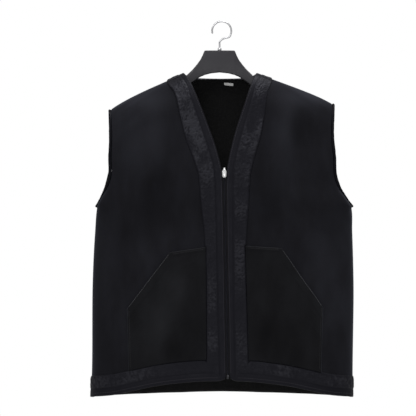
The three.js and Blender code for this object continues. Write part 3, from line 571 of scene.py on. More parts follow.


# Short nap: broad cloudy patches where it is brushed one way or the other, and a fine grain. The attribute
# "tone" lightens or darkens it in listed patches, partly its nap and partly painted light and shade: lighter
# on the upper chest and shoulders where the light falls from above, darker along folds.
def makeSuede(name, look):
    n = Nodes(name)
    strokes = n.noise(38, 4, (1, 1, 0.35))
    grain = n.noise(900, 3)
    broad = n.ramp(n.noise(9, 3, (1, 1, 0.6)),
                   [(0.33, look["dark"]), (0.5, look["mid"]), (0.72, look["light"])])
    colour = n.mixed(0.3, broad, n.ramp(strokes, [(0.35, look["dark"]), (0.65, look["light"])]))
    colour = n.mixed(n.span(grain, 0.0, 0.35), colour, look["dark"])
    # Tone patches: nap, with painted light on the upper chest and shoulders and painted shade along folds.
    tone = n.attribute("tone")
    colour = n.mixed(n.span(tone, 0.0, 0.75, 0.5, 1.0), colour, scaled(look["light"], 1.5))
    colour = n.mixed(n.span(tone, 0.8, 0.0, 0.0, 0.5), colour, scaled(look["dark"], 0.6))
    normal = n.bump(n.noise(160, 3), 0.25, 0.001, n.bump(grain, 0.35, 0.0006))
    return n.finish(colour, n.span(strokes, 0.82, 0.98), normal, Sheen_Weight=0.16, Sheen_Roughness=0.45,
                    Sheen_Tint=(0.75, 0.8, 1.0, 1), Specular_IOR_Level=0.08)


# Waxed sheepskin leather, coloured by the attribute "crest": darker in its folds, a painted shade, and lighter
# on its crests, a painted highlight, with painted glints on them and fine crackle between them.
def makeTrim(name, look, shine=0.16):
    n = Nodes(name)
    height = n.attribute("crest")
    # Painted shade in the folds, painted highlight on the crests.
    colour = n.ramp(height, [(0.0, look["dark"]), (0.45, look["mid"]), (1.0, look["light"])])
    colour = n.mixed(n.span(n.noise(24, 3), 0.0, 0.35), colour, look["dark"])
    strokes = n.noise(150, 3, (0.8, 0.8, 2.3), 0.6)
    # Painted glints: pale specks on the crests.
    paintedGlints = n.multiplied(n.span(strokes, 0.0, 0.8, 0.5, 0.72), height)
    colour = n.mixed(paintedGlints, colour, look["light"])
    normal = n.bump(n.cells(210, "DISTANCE_TO_EDGE"), 0.18, 0.0008)
    normal = n.bump(n.multiplied(strokes, height), 0.5, 0.0022, normal)
    normal = n.bump(n.noise(420, 4), 0.15, 0.0005, normal)
    return n.finish(colour, n.span(n.noise(60, 3), 0.36, 0.56), normal, Specular_IOR_Level=shine,
                    Specular_Tint=(0.85, 0.86, 1.0, 1), Sheen_Weight=0.02, Sheen_Roughness=0.5)


# Sheared wool, in small soft curls.
def makeWool(name, look):
    n = Nodes(name)
    colour = n.ramp(n.cells(260), [(0.1, look["light"]), (0.55, look["dark"])])
    return n.finish(colour, 0.95, n.bump(n.noise(330, 5), 0.7, 0.002), Sheen_Weight=0.15,
                    Sheen_Roughness=0.6, Specular_IOR_Level=0.1)


# Twisted thread, worn unevenly.
def makeThread(name, colour):
    n = Nodes(name)
    tone = n.mixed(n.noise(120, 2), scaled(colour, 0.6), colour)
    return n.finish(tone, 0.6, n.bump(n.ribs(600, "DIAGONAL"), 0.4, 0.0003))


# Woven tape or label, ribbed one way.
def makeWeave(name, dark, light, scale, direction, roughness, depth, **constants):
    n = Nodes(name)
    ribs = n.ribs(scale, direction)
    return n.finish(n.mixed(ribs, dark, light), roughness, n.bump(ribs, *depth), **constants)


# Metal with fine upright scratches and dull patches.
def makeMetal(name, colour, rough):
    n = Nodes(name)
    scratches = n.noise(260, 4, (1, 1, 0.15))
    tone = n.mixed(n.span(n.noise(45, 3), 0.0, 0.3), colour, scaled(colour, 0.6))
    return n.finish(tone, n.span(scratches, rough, rough + 0.08), n.bump(scratches, 0.05, 0.0002),
                    Metallic=1.0)


# Moulded plastic with a faint skin.
def makePlastic(name, colour):
    n = Nodes(name)
    tone = n.mixed(n.span(n.noise(14, 3), 0.0, 0.4), colour, scaled(colour, 1.35))
    return n.finish(tone, n.span(n.noise(70, 4), 0.3, 0.42), n.bump(n.noise(520, 3), 0.06, 0.0003),
                    Specular_IOR_Level=0.3)


suede = makeSuede("blackSuede", suedeLook)
pocketTones = {k: (0.78 * v[0], 0.78 * v[1], 0.7 * v[2]) for k, v in suedeLook.items()}
pocketSuede = makeSuede("pocketSuede", pocketTones)
trim = makeTrim("wrinkledLeather", trimLook)
edging = makeTrim("edgingLeather", {k: scaled(v, 0.75) for k, v in trimLook.items()}, 0.07)
wool = makeWool("shearedWool", woolLook)
thread = makeThread("stitchThread", (0.024, 0.0235, 0.027))
mouthThread = makeThread("waxedThread", (0.12, 0.12, 0.125))
zipThread = makeThread("zipThread", (0.052, 0.048, 0.062))
wornThread = makeThread("wornThread", (0.07, 0.042, 0.048))
tape = makeWeave("zipTape", (0.0035, 0.0034, 0.0050), (0.0090, 0.0088, 0.0125), 320, "Z", 0.85, (0.4, 0.0004))
labelCloth = makeWeave("labelCloth", (0.86, 0.86, 0.85), (0.97, 0.97, 0.96), 900, "X", 0.6, (0.3, 0.0002),
                       Sheen_Weight=0.3)
toothMetal = makeMetal("zipTeeth", (0.026, 0.026, 0.036), 0.4)
nickel = makeMetal("nickel", (0.92, 0.92, 0.92), 0.24)
darkMetal = makeMetal("darkMetal", (0.055, 0.055, 0.06), 0.3)
steel = makeMetal("hookSteel", (0.78, 0.78, 0.8), 0.18)
plastic = makePlastic("hangerPlastic", (0.038, 0.037, 0.042))
print("materials made")

# Where the suede is lighter or darker, partly by its nap and partly as painted light and shade (lighter on the
# upper chest and shoulders where light falls from above, darker along folds): face, x, z, spread in x and z,
# amount.
napAndPaintedShadePatches = [
    ("front", -157, -262, 38, 60, 0.3), ("front", -162, -430, 30, 55, -0.25),
    ("front", -258, -520, 26, 90, 0.14), ("front", -175, -180, 60, 24, 0.3),
    ("front", 142, -250, 26, 62, 0.28), ("front", 172, -250, 14, 60, -0.12),
    ("front", 116, -426, 36, 46, -0.3), ("front", 185, -172, 60, 24, 0.34),
    ("front", 232, -560, 30, 80, 0.08), ("front", -98, -610, 20, 46, 0.22),
    ("front", -136, -690, 24, 50, 0.24), ("front", -112, -742, 20, 26, -0.4),
    ("front", 100, -702, 18, 34, -0.38), ("front", 150, -640, 40, 60, 0.06),
    ("front", -205, -330, 40, 60, 0.1), ("back", -120, -300, 50, 90, 0.2),
    ("back", 130, -360, 44, 80, 0.16), ("back", 10, -520, 60, 90, -0.2),
    ("back", -150, -700, 50, 70, -0.16), ("back", 160, -690, 46, 80, 0.14)]
# Small creases near the shoulders and under the arms: face, from x and z, to x and z, spread, lift.
creases = [
    ("front", -224, -190, -197, -174, 5, 0.9), ("front", -196, -187, -172, -172, 5, 0.8),
    ("front", -247, -256, -194, -216, 12, -1.8), ("front", -262, -382, -281, -424, 13, 2.0),
    ("front", 236, -196, 204, -180, 6, 0.9), ("front", 196, -182, 168, -164, 6, 0.8),
    ("front", 158, -210, 150, -300, 11, 1.2), ("front", 262, -372, 284, -420, 13, 2.0),
    ("back", -226, -200, -196, -180, 6, 0.9), ("back", 232, -204, 200, -186, 6, 0.9),
    ("back", -250, -380, -272, -424, 13, 1.6), ("back", 248, -376, 276, -422, 13, 1.6)]


# Tone of the suede from 0 to 1: soft round patches on a middle tone, partly nap and partly painted light and
# shade.
def toneAt(face, x, z):
    tone = np.full(np.broadcast(x, z).shape, 0.5)
    for onFace, x0, z0, spreadX, spreadZ, amount in napAndPaintedShadePatches:
        if onFace == face:
            tone = tone + amount * np.exp(-((x - x0) / spreadX) ** 2 - ((z - z0) / spreadZ) ** 2)
    return np.clip(tone, 0, 1)


panelLook = {
    "wave": 1.3, "waveLength": 95.0,
    "woolLift": 1.1, "woolCurl": 5.0,
    "fadeRows": 9,  # the waves die out over so many rows at the edges
    "easeReach": 16.0,  # under the arm the cloth eases from the armhole's curve into the side
    "easeRounds": 24,
    "frontCut": (0.365, 0.745), "frontArea": 0.19,  # flat, in metres
    "backCut": (0.73, 0.745), "backArea": 0.43,
}


# A panel's outer and inner points: slow waves and creases on the suede, and small curls of wool inside.
def panelGrids(side, face, across, drop, seed):
    look = panelLook
    points, normals = clothGrid(side, face, across, drop)
    x, z = sides[side]["sign"] * across, points[..., 2]
    rows, columns = (np.arange(count) for count in across.shape)
    inside = np.minimum(np.minimum(rows, rows[::-1])[:, None], columns[::-1][None])
    fade = np.minimum(inside, look["fadeRows"]) / look["fadeRows"]
    wave = noise(x / look["waveLength"] + 40, z / look["waveLength"] * 0.7 + 50, seed) - 0.5
    lift = look["wave"] * wave + foldLift(face, points[..., 0], z, creases)
    outer = offset(points, normals, lift * fade)
    ease = np.exp(-((z - form["underarm"]) / look["easeReach"]) ** 2) * smoothStep(2, 12, columns[::-1])[None]
    for _ in range(look["easeRounds"]):
        outer[1:-1] += ease[1:-1, :, None] * (outer[:-2] - 2 * outer[1:-1] + outer[2:]) / 4
    curl = noise(x / look["woolCurl"] + 300, z / look["woolCurl"] + 300, seed + 1) - 0.5
    inner = offset(points, normals, -form["skin"] + look["woolLift"] * curl * np.minimum(fade * 3, 1))
    # The tone carries the patches of nap and of painted light and shade.
    return outer, inner, toneAt(face, points[..., 0], z)


# A front: close columns beside its edge, then even shares out to its side.
def buildFront(side, node, seed):
    across, drop = frontLines(side, np.linspace(0, 50, 13)[:-1], np.linspace(0, 1, 64), 108, 88)
    outer, inner, tone = panelGrids(side, "front", across, drop, seed)
    piece = addWall("frontPanel." + side, outer, inner, [suede, wool], {"tone": tone})
    settle(piece, [node])


# The back's two halves are joined along its middle into one wall.
def buildBack():
    halves = [panelGrids(side, "back", *backLines(side, 22, 62, 104, 84), 21) for side in sides]
    outer, inner, tone = (np.concatenate([left[:, :0:-1], right], 1) for left, right in zip(*halves))
    piece = addWall("backPanel", outer, inner, [suede, wool], {"tone": tone})
    settle(piece, ["back"])


buildFront("left", "front_left", 11)
buildFront("right", "front_right", 13)
buildBack()
print("panels made")

bandLook = {
    "plain": 13.5,  # smooth strip along the folded edge
    "hemPlain": 16 / 19,  # scale of that strip on the hem
    "wrinkle": 1.5,
    "seamDip": 0.7,
    "paintedHighlightAt": -255.0, "paintedHighlightReach": 85.0,  # the crests are painted lighter beside the neck, a painted highlight
    "evenAbove": -300.0,  # where the band narrows above this, its smooth strip doesn't
}


# Height of the wrinkled leather, from distances along and across a band: crests of several sizes where it is
# gathered, a smooth strip along its folded edge, and a dip at the seam between them.
def wrinkles(along, across, width, seed):
    plain = bandLook["plain"]
    zone = smoothStep(plain - 1, plain + 5, across) * (1 - smoothStep(width - 5, width, across))
    warp = 5 * noise(along / 23 + 60, across / 17 + 60, seed + 5)
    big = crests((along + 0.5 * across + warp) / 8.5 + 50, (across - 0.3 * along) / 21 + 250, seed) ** 2
    mid = crests((along - 0.45 * across + warp) / 4.6 + 50, across / 9 + 50, seed + 1) ** 2
    small = crests(along / 2.6 + 90, across / 3.8 + 90, seed + 2)
    patch = np.clip(0.15 + 1.5 * noise(along / 42 + 70, across / 30 + 70, seed + 3), 0.2, 1.5)
    crest = (0.14 * big + 0.34 * mid + 0.52 * small) * patch
    smooth = 0.08 + 0.14 * noise(along / 12 + 20, across / 9 + 20, seed + 4)
    dip = np.exp(-((across - plain) / 1.1) ** 2)
    lift = bandLook["wrinkle"] * zone * crest - bandLook["seamDip"] * dip + 0.15 * smooth
    # The second value colours the leather: lighter on the crests, a painted highlight, and darker in the
    # seam's dip, a painted shade.
    return lift, np.clip(mix(smooth, crest * 1.1, zone) - 0.35 * dip, 0, 1)


# A band: leather that lies on the cloth along lines that start at its edge, and folds down round its rim, in
# four straight steps and two round ones.
def addBand(name, node, points, normals, seed, lift=0.0, plainScale=1.0):
    edge, count = points[:, 0], len(points)
    steps = np.linalg.norm(np.diff(points, axis=1), axis=2)
    across = np.concatenate([np.zeros((count, 1)), np.cumsum(steps, axis=1)], 1)
    width = np.maximum(across[:, -1:], 0.001)
    height, crest = wrinkles(lengthsAlong(edge)[:, None], across * plainScale, width * plainScale, seed)
    height = height * smoothStep(0, 3, across) * smoothStep(-0.4, 1.4, width - across)
    lift = np.broadcast_to(np.asarray(lift, float), (count, 1))
    base, clear = form["gap"] + lift, form["gap"] + 0.25 * lift
    leather = form["trim"] * (0.35 + 0.65 * rounded((width - across) / 1.2))
    outerFace = offset(points, normals, base + leather + height)
    off = unit(np.cross(normals[:, 0], np.gradient(edge, axis=0)))
    off *= -np.sign(np.sum(off * (points[:, 1] - points[:, 0]), 1))[:, None]
    outs, ins = [], []
    for share in (0.0, 0.35, 0.7, 1.0):
        depth = mix(-form["skin"] - form["gap"], 0.0, share)
        bulge = 0.12 * math.sin(3 * share)
        outs.append(edge + off * (clear + form["trim"] + bulge) + normals[:, 0] * depth)
        ins.append(edge + off * clear + normals[:, 0] * depth)
    for angle in (math.radians(30), math.radians(60)):
        c, s = math.cos(angle), math.sin(angle)
        outs.append(edge + off * (clear + form["trim"]) * c + normals[:, 0] * (base + form["trim"]) * s)
        ins.append(edge + off * clear * c + normals[:, 0] * base * s)
    outer = np.concatenate([np.stack(outs, 1), outerFace], 1)
    inner = np.concatenate([np.stack(ins, 1), offset(points, normals, base)], 1)
    # Painted highlight: beside the neck the crests are coloured lighter, and their crackle is deeper.
    shine = np.exp(-((points[..., 2] - bandLook["paintedHighlightAt"]) / bandLook["paintedHighlightReach"]) ** 2)
    crest = np.concatenate([np.full((count, len(outs)), 0.3), crest * (0.75 + 0.55 * shine)], 1)
    settle(addWall(name, outer, inner, [trim], {"crest": crest}), [node])


bandColumns = np.linspace(0, 50, 30)
neckRows = 23  # rows at the top of a front band's lines that belong to the neck band


# The strip of lines beside a front's edge, for its band and the neck band.
def frontBandLines(side):
    return frontLines(side, bandColumns, [], 190, 150)


# Each pocket's inner side, top, slanted mouth and outer side: distances from the middle and heights.
pockets = {
    "left": {"inner": 36.9, "innerLow": 35.4, "top": -513, "mouth": 118, "mouthTop": -525, "outer": 214.5,
             "outerTop": -653, "outerLow": 211},
    "right": {"inner": 53.4, "innerLow": 60.4, "top": -510, "mouth": 135, "mouthTop": -515.5, "outer": 229,
              "outerTop": -651, "outerLow": 225},
}


pocketLean = 255.0  # height over which the inner side leans


# The pocket's inner side leans on a straight line.
def pocketInner(side, z):
    p = pockets[side]
    return mix(p["inner"], p["innerLow"], np.clip((p["top"] - z) / pocketLean, 0, 1))


# Beside the pocket a front band ends at the pocket's edge, and below that on the mitre with the hem band.
def buildFrontBand(side, node, seed):
    across, drop = frontBandLines(side)
    z = cloth(side, "front", across, drop)[..., 2]
    limit = np.where(z < pockets[side]["top"] + 0.9, pocketInner(side, z) - form["gap"], 1e3)
    inner = across[:, :1]
    mitreFoot = hemAt(side, "front", across[0, 0]) - form["footRise"]
    mitre = inner + np.maximum(z[:, :1] - mitreFoot, 0.2)
    outer = np.minimum(across[:, -1:], np.minimum(limit.min(1, keepdims=True), mitre))
    narrowed = inner + (outer - inner) * ((across - inner) / (across[:, -1:] - inner))
    lowered = np.stack([np.interp(new, old, down) for new, old, down in zip(narrowed, across, drop)])
    points, normals = clothGrid(side, "front", narrowed[:-neckRows], lowered[:-neckRows])
    edgeZ = points[:, :1, 2]
    plainScale = np.where(edgeZ > bandLook["evenAbove"], 1 / np.minimum(lookup(bandShares, edgeZ), 1), 1)
    addBand("frontBand." + side, node, points, normals, seed, plainScale=plainScale)


buildFrontBand("left", "front_band_left", 31)
buildFrontBand("right", "front_band_right", 37)
print("front bands made")


# Lines of a hem band: they start at the bottom edge and run up the cloth, as far as the mitre beside the
# front edge.
def hemLines(side, face):
    start = edgeAcross(side, form["frontFoot"]) if face == "front" else 0.0
    outer = outerEdge(side, face, form["hemAt"]) - form["seamStop"]
    across = np.linspace(start, outer, 170)[:, None]
    height = form["hemHeight"] * np.ones_like(across)
    if face == "front":
        height = np.minimum(height, np.maximum(across - start - form["gap"], 0.2))
        height = np.where(height > form["hemHeight"] - 1, form["hemHeight"], height)
    drop = dropAt(side, across, hemAt(side, face, across)) - np.linspace(0, 1, 26)[None] * height
    return clothGrid(side, face, across + 0 * drop, drop)


hemPlain = bandLook["hemPlain"]
addBand("hemBand.left", "hem_band_front_left", *hemLines("left", "front"), 41, plainScale=hemPlain)
addBand("hemBand.right", "hem_band_front_right", *hemLines("right", "front"), 43, plainScale=hemPlain)
hemHalves = zip(hemLines("left", "back"), hemLines("right", "back"))
addBand("hemBand.back", "hem_band_back", *(np.concatenate([a[:0:-1], b]) for a, b in hemHalves), 47,
        plainScale=hemPlain)


# Lines of the neck band on the back: each runs from the neckline along the cloth, square to the neckline and
# turning to follow the ridge near the shoulder. A direction on the cloth is solved for its steps across and
# down from their products with the cloth's own two directions.
def backNeckLines(side, count):
    neck = sides[side]["neck"]
    t = np.arange(count) / count
    across = neck * np.sin(math.pi / 2 * t)
    drop = backNeckDrop(side, across)
    h = 2.0
    du = (cloth(side, "back", across + h, drop) - cloth(side, "back", across - h, drop)) / (2 * h)
    dv = (cloth(side, "back", across, drop + h) - cloth(side, "back", across, drop - h)) / (2 * h)
    ahead = cloth(side, "back", across + h, backNeckDrop(side, np.minimum(across + h, neck)))
    behind = cloth(side, "back", np.abs(across - h), backNeckDrop(side, np.abs(across - h)))
    behind[0] = ahead[0] * np.array([-1, 1, 1])
    down = unit(np.cross(clothNormal(side, "back", across, drop), ahead - behind))
    down *= -np.sign(down[:, 2:3])
    uu, uv, vv = (du * du).sum(1), (du * dv).sum(1), (dv * dv).sum(1)
    ud, vd = (du * down).sum(1), (dv * down).sum(1)
    det = uu * vv - uv * uv
    turned = smoothStep(0.5, 1, t)
    stepAcross = mix((ud * vv - vd * uv) / det, 0.92, turned)[:, None]
    stepDown = mix((vd * uu - ud * uv) / det, 0, turned)[:, None]
    reach = bandColumns[None] * neckBandShare
    return clothGrid(side, "back", across[:, None] + reach * stepAcross, drop[:, None] + reach * stepDown)


# The neck band runs from one front, over the shoulder and round the back, to the other front.
def buildNeckBand():
    halves = []
    for side in sides:
        across, drop = (lines[-neckRows:-1:2] for lines in frontBandLines(side))
        front, back = clothGrid(side, "front", across, drop), backNeckLines(side, 34)
        halves.append([np.concatenate([f, b[::-1]]) for f, b in zip(front, back)])
    points, normals = (np.concatenate([a[:-1], b[::-1]]) for a, b in zip(*halves))
    rise = 0.8 * np.sin(np.linspace(0, math.pi, len(points)))[:, None]
    addBand("neckBand", "neck_band_back", points, normals, 53, lift=rise, plainScale=1 / neckBandShare)


buildNeckBand()
print("hem and neck bands made")

bindingLook = {"width": 7.4, "thickness": 9.4, "flare": 40.0, "flareRise": 7, "pucker": 0.16,
               "puckerLength": 7.0}


# The armhole's edge, up the front and down the back, with the normals there and the share of the way up.
def armholeLoop(side, count=150):
    share = np.linspace(0, 1, count)
    parts = []
    for face, order in (("front", share), ("back", share[::-1])):
        z = armHeight(side, order)
        across = outerEdge(side, face, z)
        p, n = clothGrid(side, face, across, np.maximum(dropAt(side, across, z), form["ridgeStop"]))
        ends = (order <= 0) | (order >= 1)
        p[ends, 1] = 0
        n[ends, 1] = 0
        keep = slice(1, -1) if face == "back" else slice(None)
        parts.append((p[keep], unit(n[keep]), order[keep]))
    return [np.concatenate(values) for values in zip(*parts)]


# The middle of the binding's section round that loop, with its outward and upward directions. Under the arm
# it flares out.
def bindingFrame(side):
    points, normals, share = armholeLoop(side)
    flat = unit(np.cross(normals, np.roll(points, -1, 0) - np.roll(points, 1, 0))) * -sides[side]["sign"]
    flare = math.radians(bindingLook["flare"]) * np.exp(-((share * bindingLook["flareRise"]) ** 2))[:, None]
    off = flat * np.cos(flare) + normals * np.sin(flare)
    up = normals * np.cos(flare) - flat * np.sin(flare)
    middle = points - normals * form["skin"] / 2 + off * (1.0 + bindingLook["width"] / 2 + 3 * flare)
    for _ in range(2):
        middle = (np.roll(middle, 1, 0) + 2 * middle + np.roll(middle, -1, 0)) / 4
    return middle, off, up


# An oval section carried round the loop, with puckers along it and a groove at its seam.
def buildBinding(side, node, seed):
    middle, off, up = bindingFrame(side)
    around = np.linspace(0, 2 * math.pi, 20, endpoint=False)[None]
    length = lengthsAlong(middle)
    pucker = noise(length[:, None] / bindingLook["puckerLength"] + 20, 3 * np.cos(around) + 30, seed)
    pucker = pucker * (smoothStep(0, 12, length) * smoothStep(0, 12, length[-1] - length))[:, None]
    groove = 1 - 0.1 * np.exp(-(((around - 2.1) / 0.25) ** 2))
    size = ((1 + bindingLook["pucker"] * (pucker - 0.5)) * groove)[..., None] / 2
    rings = (middle[:, None] + off[:, None] * np.cos(around)[..., None] * bindingLook["width"] * size
             + up[:, None] * np.sin(around)[..., None] * bindingLook["thickness"] * size)
    # Through the attribute "crest" the puckers are painted lighter where they swell and darker between them:
    # painted light and shade.
    piece = addTube("armholeBinding." + side, rings, [edging], True, {"crest": 0.45 * np.clip(pucker, 0, 1)})
    settle(piece, [node])


buildBinding("left", "armhole_binding_left", 61)
buildBinding("right", "armhole_binding_right", 67)
print("armhole bindings made")

pocketLook = {
    "thickness": 1.8, "hem": 16.0, "hemLift": 1.1,
    "gape": 2.6, "gapeReach": 26.0,  # the mouth stands off a little
    "stitchRows": (1.4, 5.0),  # under the top and the mouth
    "tall": 275.0, "fill": 0.83,  # height of the cut, and how much of that rectangle it fills
    "ease": 2.0,  # what the cut is wider than the pocket
}


# The top edge: level, then down the slanted mouth.
def pocketTop(side, across):
    p = pockets[side]
    return np.interp(across, [p["inner"], p["mouth"], p["outer"]], [p["top"], p["mouthTop"], p["outerTop"]])


# A pocket starts just above the hem band.
def pocketFoot(side, across):
    return hemAt(side, "front", across) + form["hemHeight"] + form["gap"]


# A pocket: columns from its inner side to its outer one, each from the hem band up to the top edge or the
# mouth. Both sides lean, and the columns beside them lean with them.
def pocketPoint(side, across, share):
    p = pockets[side]
    z = mix(pocketFoot(side, across), pocketTop(side, across), share)
    near = np.clip(1 - (across - p["inner"]) / 60, 0, 1) * np.clip((p["top"] - z) / pocketLean, 0, 1)
    far = np.clip(1 - (p["outer"] - across) / 60, 0, 1) * np.clip((p["outerTop"] - z) / 130, 0, 1)
    return across + (p["innerLow"] - p["inner"]) * near + (p["outerLow"] - p["outer"]) * far, z


# The leather's outer face: a hem along the mouth and the top, seams pressed in beside them, a mouth that
# gapes, slow waves and a few crests.
def buildPocket(side, node, seed):
    p = pockets[side]
    across = np.linspace(p["inner"], p["outer"], 104)[None] + np.zeros((104, 1))
    shifted, z = pocketPoint(side, across, np.linspace(0, 1, 104)[:, None])
    points, normals = clothGrid(side, "front", shifted, dropAt(side, shifted, z))
    dx, dz = p["outer"] - p["mouth"], p["outerTop"] - p["mouthTop"]
    mouth = np.abs((shifted - p["mouth"]) * dz - (z - p["mouthTop"]) * dx) / math.hypot(dx, dz)
    onMouth = smoothStep(p["mouth"] - 8, p["mouth"] + 12, shifted)
    gape = pocketLook["gape"] * np.exp(-((mouth / pocketLook["gapeReach"]) ** 2)) * onMouth
    gape *= np.sin(math.pi * np.clip((shifted - p["mouth"]) / dx, 0, 1)) ** 0.6
    hem = smoothStep(pocketLook["hem"] + 1, pocketLook["hem"] - 1, mouth) * onMouth
    fromTop = pocketTop(side, across) - z
    hem = np.maximum(hem, smoothStep(9, 7, fromTop) * (1 - onMouth))
    seams = -0.5 * np.exp(-(((mouth - 3.0) / 0.9) ** 2)) * onMouth
    seams -= 0.8 * np.exp(-(((fromTop - 4.0) / 1.1) ** 2)) * (1 - onMouth)
    rim = rounded(np.minimum(shifted[:, -1:] - shifted, fromTop) / 1.5)
    wave = 1.6 * (noise(shifted / 34 + 10, z / 60 + 40, seed) - 0.5)
    wave *= np.clip(np.minimum(z - z[:1], fromTop) / 30, 0, 1)
    crease = 0.6 * crests((shifted + 0.8 * z) / 26 + 80, z / 44 + 60, seed + 1) ** 3 * np.clip(rim * 3, 0, 1)
    base = form["gap"] + 0.5 + gape + np.maximum(wave, -0.3)
    thick = pocketLook["thickness"] * (0.4 + 0.6 * rim) + pocketLook["hemLift"] * hem * rim
    outer = offset(points, normals, base + thick + seams + crease)
    # The pocket takes the same patches of nap and of painted light and shade.
    tone = toneAt("front", points[..., 0], z)
    piece = addWall("pocket." + side, outer, offset(points, normals, base), [pocketSuede], {"tone": tone})
    settle(piece, [node])
    return outer, normals


pocketFaces = {"left": buildPocket("left", "pocket_left", 71),
               "right": buildPocket("right", "pocket_right", 73)}
print("pockets made")

stitchLook = {"pitch": 4.6, "length": 2.8, "width": 0.7, "height": 0.45, "stand": 0.35,
              "fromFold": 1.2, "fromFoot": 6.0}  # from the front edge, and from the bottom edge
# A dash of thread: a low mound on a long base, in shares of its length, width and height.
dashShape = np.array([
    (-0.5, -0.3, 0), (-0.5, 0.3, 0), (0.5, 0.3, 0), (0.5, -0.3, 0),
    (-0.32, -0.5, 0.6), (-0.32, 0.5, 0.6), (0.32, 0.5, 0.6), (0.32, -0.5, 0.6),
    (-0.2, 0, 1), (0.2, 0, 1)], float)
dashFaces = np.array([
    (0, 1, 2), (0, 2, 3), (0, 4, 5), (0, 5, 1), (1, 5, 6), (1, 6, 2), (2, 6, 7), (2, 7, 3),
    (3, 7, 4), (3, 4, 0), (4, 8, 5), (6, 9, 7), (5, 8, 9), (5, 9, 6), (7, 9, 8), (7, 8, 4)])


# Dashes of thread along a curve of points on a surface, evenly by its length.
def stitchRow(points, normals):
    length = lengthsAlong(points)
    at = np.arange(stitchLook["pitch"], length[-1] - stitchLook["pitch"], stitchLook["pitch"])
    place = readBetween(at, length, points)
    ahead = unit(readBetween(at + 0.5, length, points) - place)
    normal = readBetween(at, length, normals)
    normal = unit(normal - ahead * np.sum(ahead * normal, 1, keepdims=True))
    sideways = np.cross(normal, ahead)
    axes = [ahead * stitchLook["length"], sideways * stitchLook["width"], normal * stitchLook["height"]]
    return place, np.stack(axes, 1)


# All the rows of one thread, in one piece.
def buildStitches(name, rows, material):
    places, axes = (np.concatenate(values) for values in zip(*(stitchRow(*row) for row in rows)))
    settle(addCopies(name, dashShape, dashFaces, places, axes, [material]))


# Down the smooth strip beside the zip and up the V, as far as the neck band.
def bandStitches(side, distance):
    across, drop = frontLines(side, [distance], [], 300, 200)
    z = cloth(side, "front", across, drop)[..., 2]
    keep = (z[:, 0] > -800) & (np.arange(len(z)) < 487)
    points, normals = clothGrid(side, "front", across[keep, 0], drop[keep, 0])
    return offset(points, normals, form["gap"] + form["trim"] + stitchLook["stand"]), normals


# Along a hem band, at a distance above its bottom edge.
def hemStitches(side, face, distance):
    start = edgeAcross(side, form["frontFoot"]) + 14 if face == "front" else 1.0
    across = np.linspace(start, outerEdge(side, face, form["hemAt"]) - 3, 200)
    drop = dropAt(side, across, hemAt(side, face, across)) - distance
    points, normals = clothGrid(side, face, across, drop)
    return offset(points, normals, form["gap"] + form["trim"] + 0.3), normals


# Along the top edge and the mouth of a pocket at a distance under them, read from the pocket's own face
# between its columns and rows. The first list is on the mouth, the second on the top.
def pocketStitches(side, distance):
    p = pockets[side]
    outer, normals = pocketFaces[side]
    dx, dz = p["outer"] - p["mouth"], p["outerTop"] - p["mouthTop"]
    across = np.concatenate([np.linspace(p["inner"] + 3, p["mouth"] - 1, 30),
                             np.linspace(p["mouth"] + 1, p["outer"] - 2, 70)])
    down = np.where(across < p["mouth"], distance, distance * math.hypot(dx, dz) / abs(dx))
    foot, top = pocketFoot(side, across), pocketTop(side, across)
    r = (top - down - foot) / (top - foot) * (outer.shape[0] - 1)
    c = (across - p["inner"]) / (p["outer"] - p["inner"]) * (outer.shape[1] - 1)
    r0 = np.clip(np.floor(r).astype(int), 0, outer.shape[0] - 2)
    c0 = np.clip(np.floor(c).astype(int), 0, outer.shape[1] - 2)
    fr, fc = (r - r0)[:, None], (c - c0)[:, None]
    points, turned = (mix(mix(a[r0, c0], a[r0, c0 + 1], fc), mix(a[r0 + 1, c0], a[r0 + 1, c0 + 1], fc), fr)
                      for a in (outer, normals))
    slanted = across > p["mouth"]
    return (points[slanted], turned[slanted]), (points[~slanted], turned[~slanted])


# Round the upper front of an armhole's binding, where the worn thread shows paler.
def bindingStitches(side):
    middle, off, up = bindingFrame(side)
    tilt = math.radians(118)
    points = (middle + off * math.cos(tilt) * bindingLook["width"] / 2
              + up * math.sin(tilt) * bindingLook["thickness"] / 2)
    half = len(middle) // 2
    upper = points[:half, 2] > -215
    return points[:half][upper][:-3], up[:half][upper][:-3]


bandRows, sideRows, mouthRows, topRows = [], [], [], []
for sideName in sides:
    bandRows.append(bandStitches(sideName, stitchLook["fromFold"]))
    bandRows += [hemStitches(sideName, face, stitchLook["fromFoot"]) for face in facing]
    outer, normals = pocketFaces[sideName]
    sideRows.append((outer[3:-3, -4], normals[3:-3, -4]))
    rows = [pocketStitches(sideName, distance) for distance in pocketLook["stitchRows"]]
    mouthRows.append(rows[0][0])
    topRows += [top for mouth, top in rows]
buildStitches("bandStitches", bandRows, zipThread)
buildStitches("pocketStitches", sideRows + topRows, thread)
buildStitches("mouthStitches", mouthRows, mouthThread)
buildStitches("bindingStitches", [bindingStitches(sideName) for sideName in sides], wornThread)
print("stitches made")

zipLook = {"recess": 1.6, "thickness": 2.0, "foot": -801.0, "head": -354.9, "rib": 0.25, "toothPitch": 3.0,
           "tooth": (2.7, 1.9, 1.7)}  # a tooth's width, height and depth


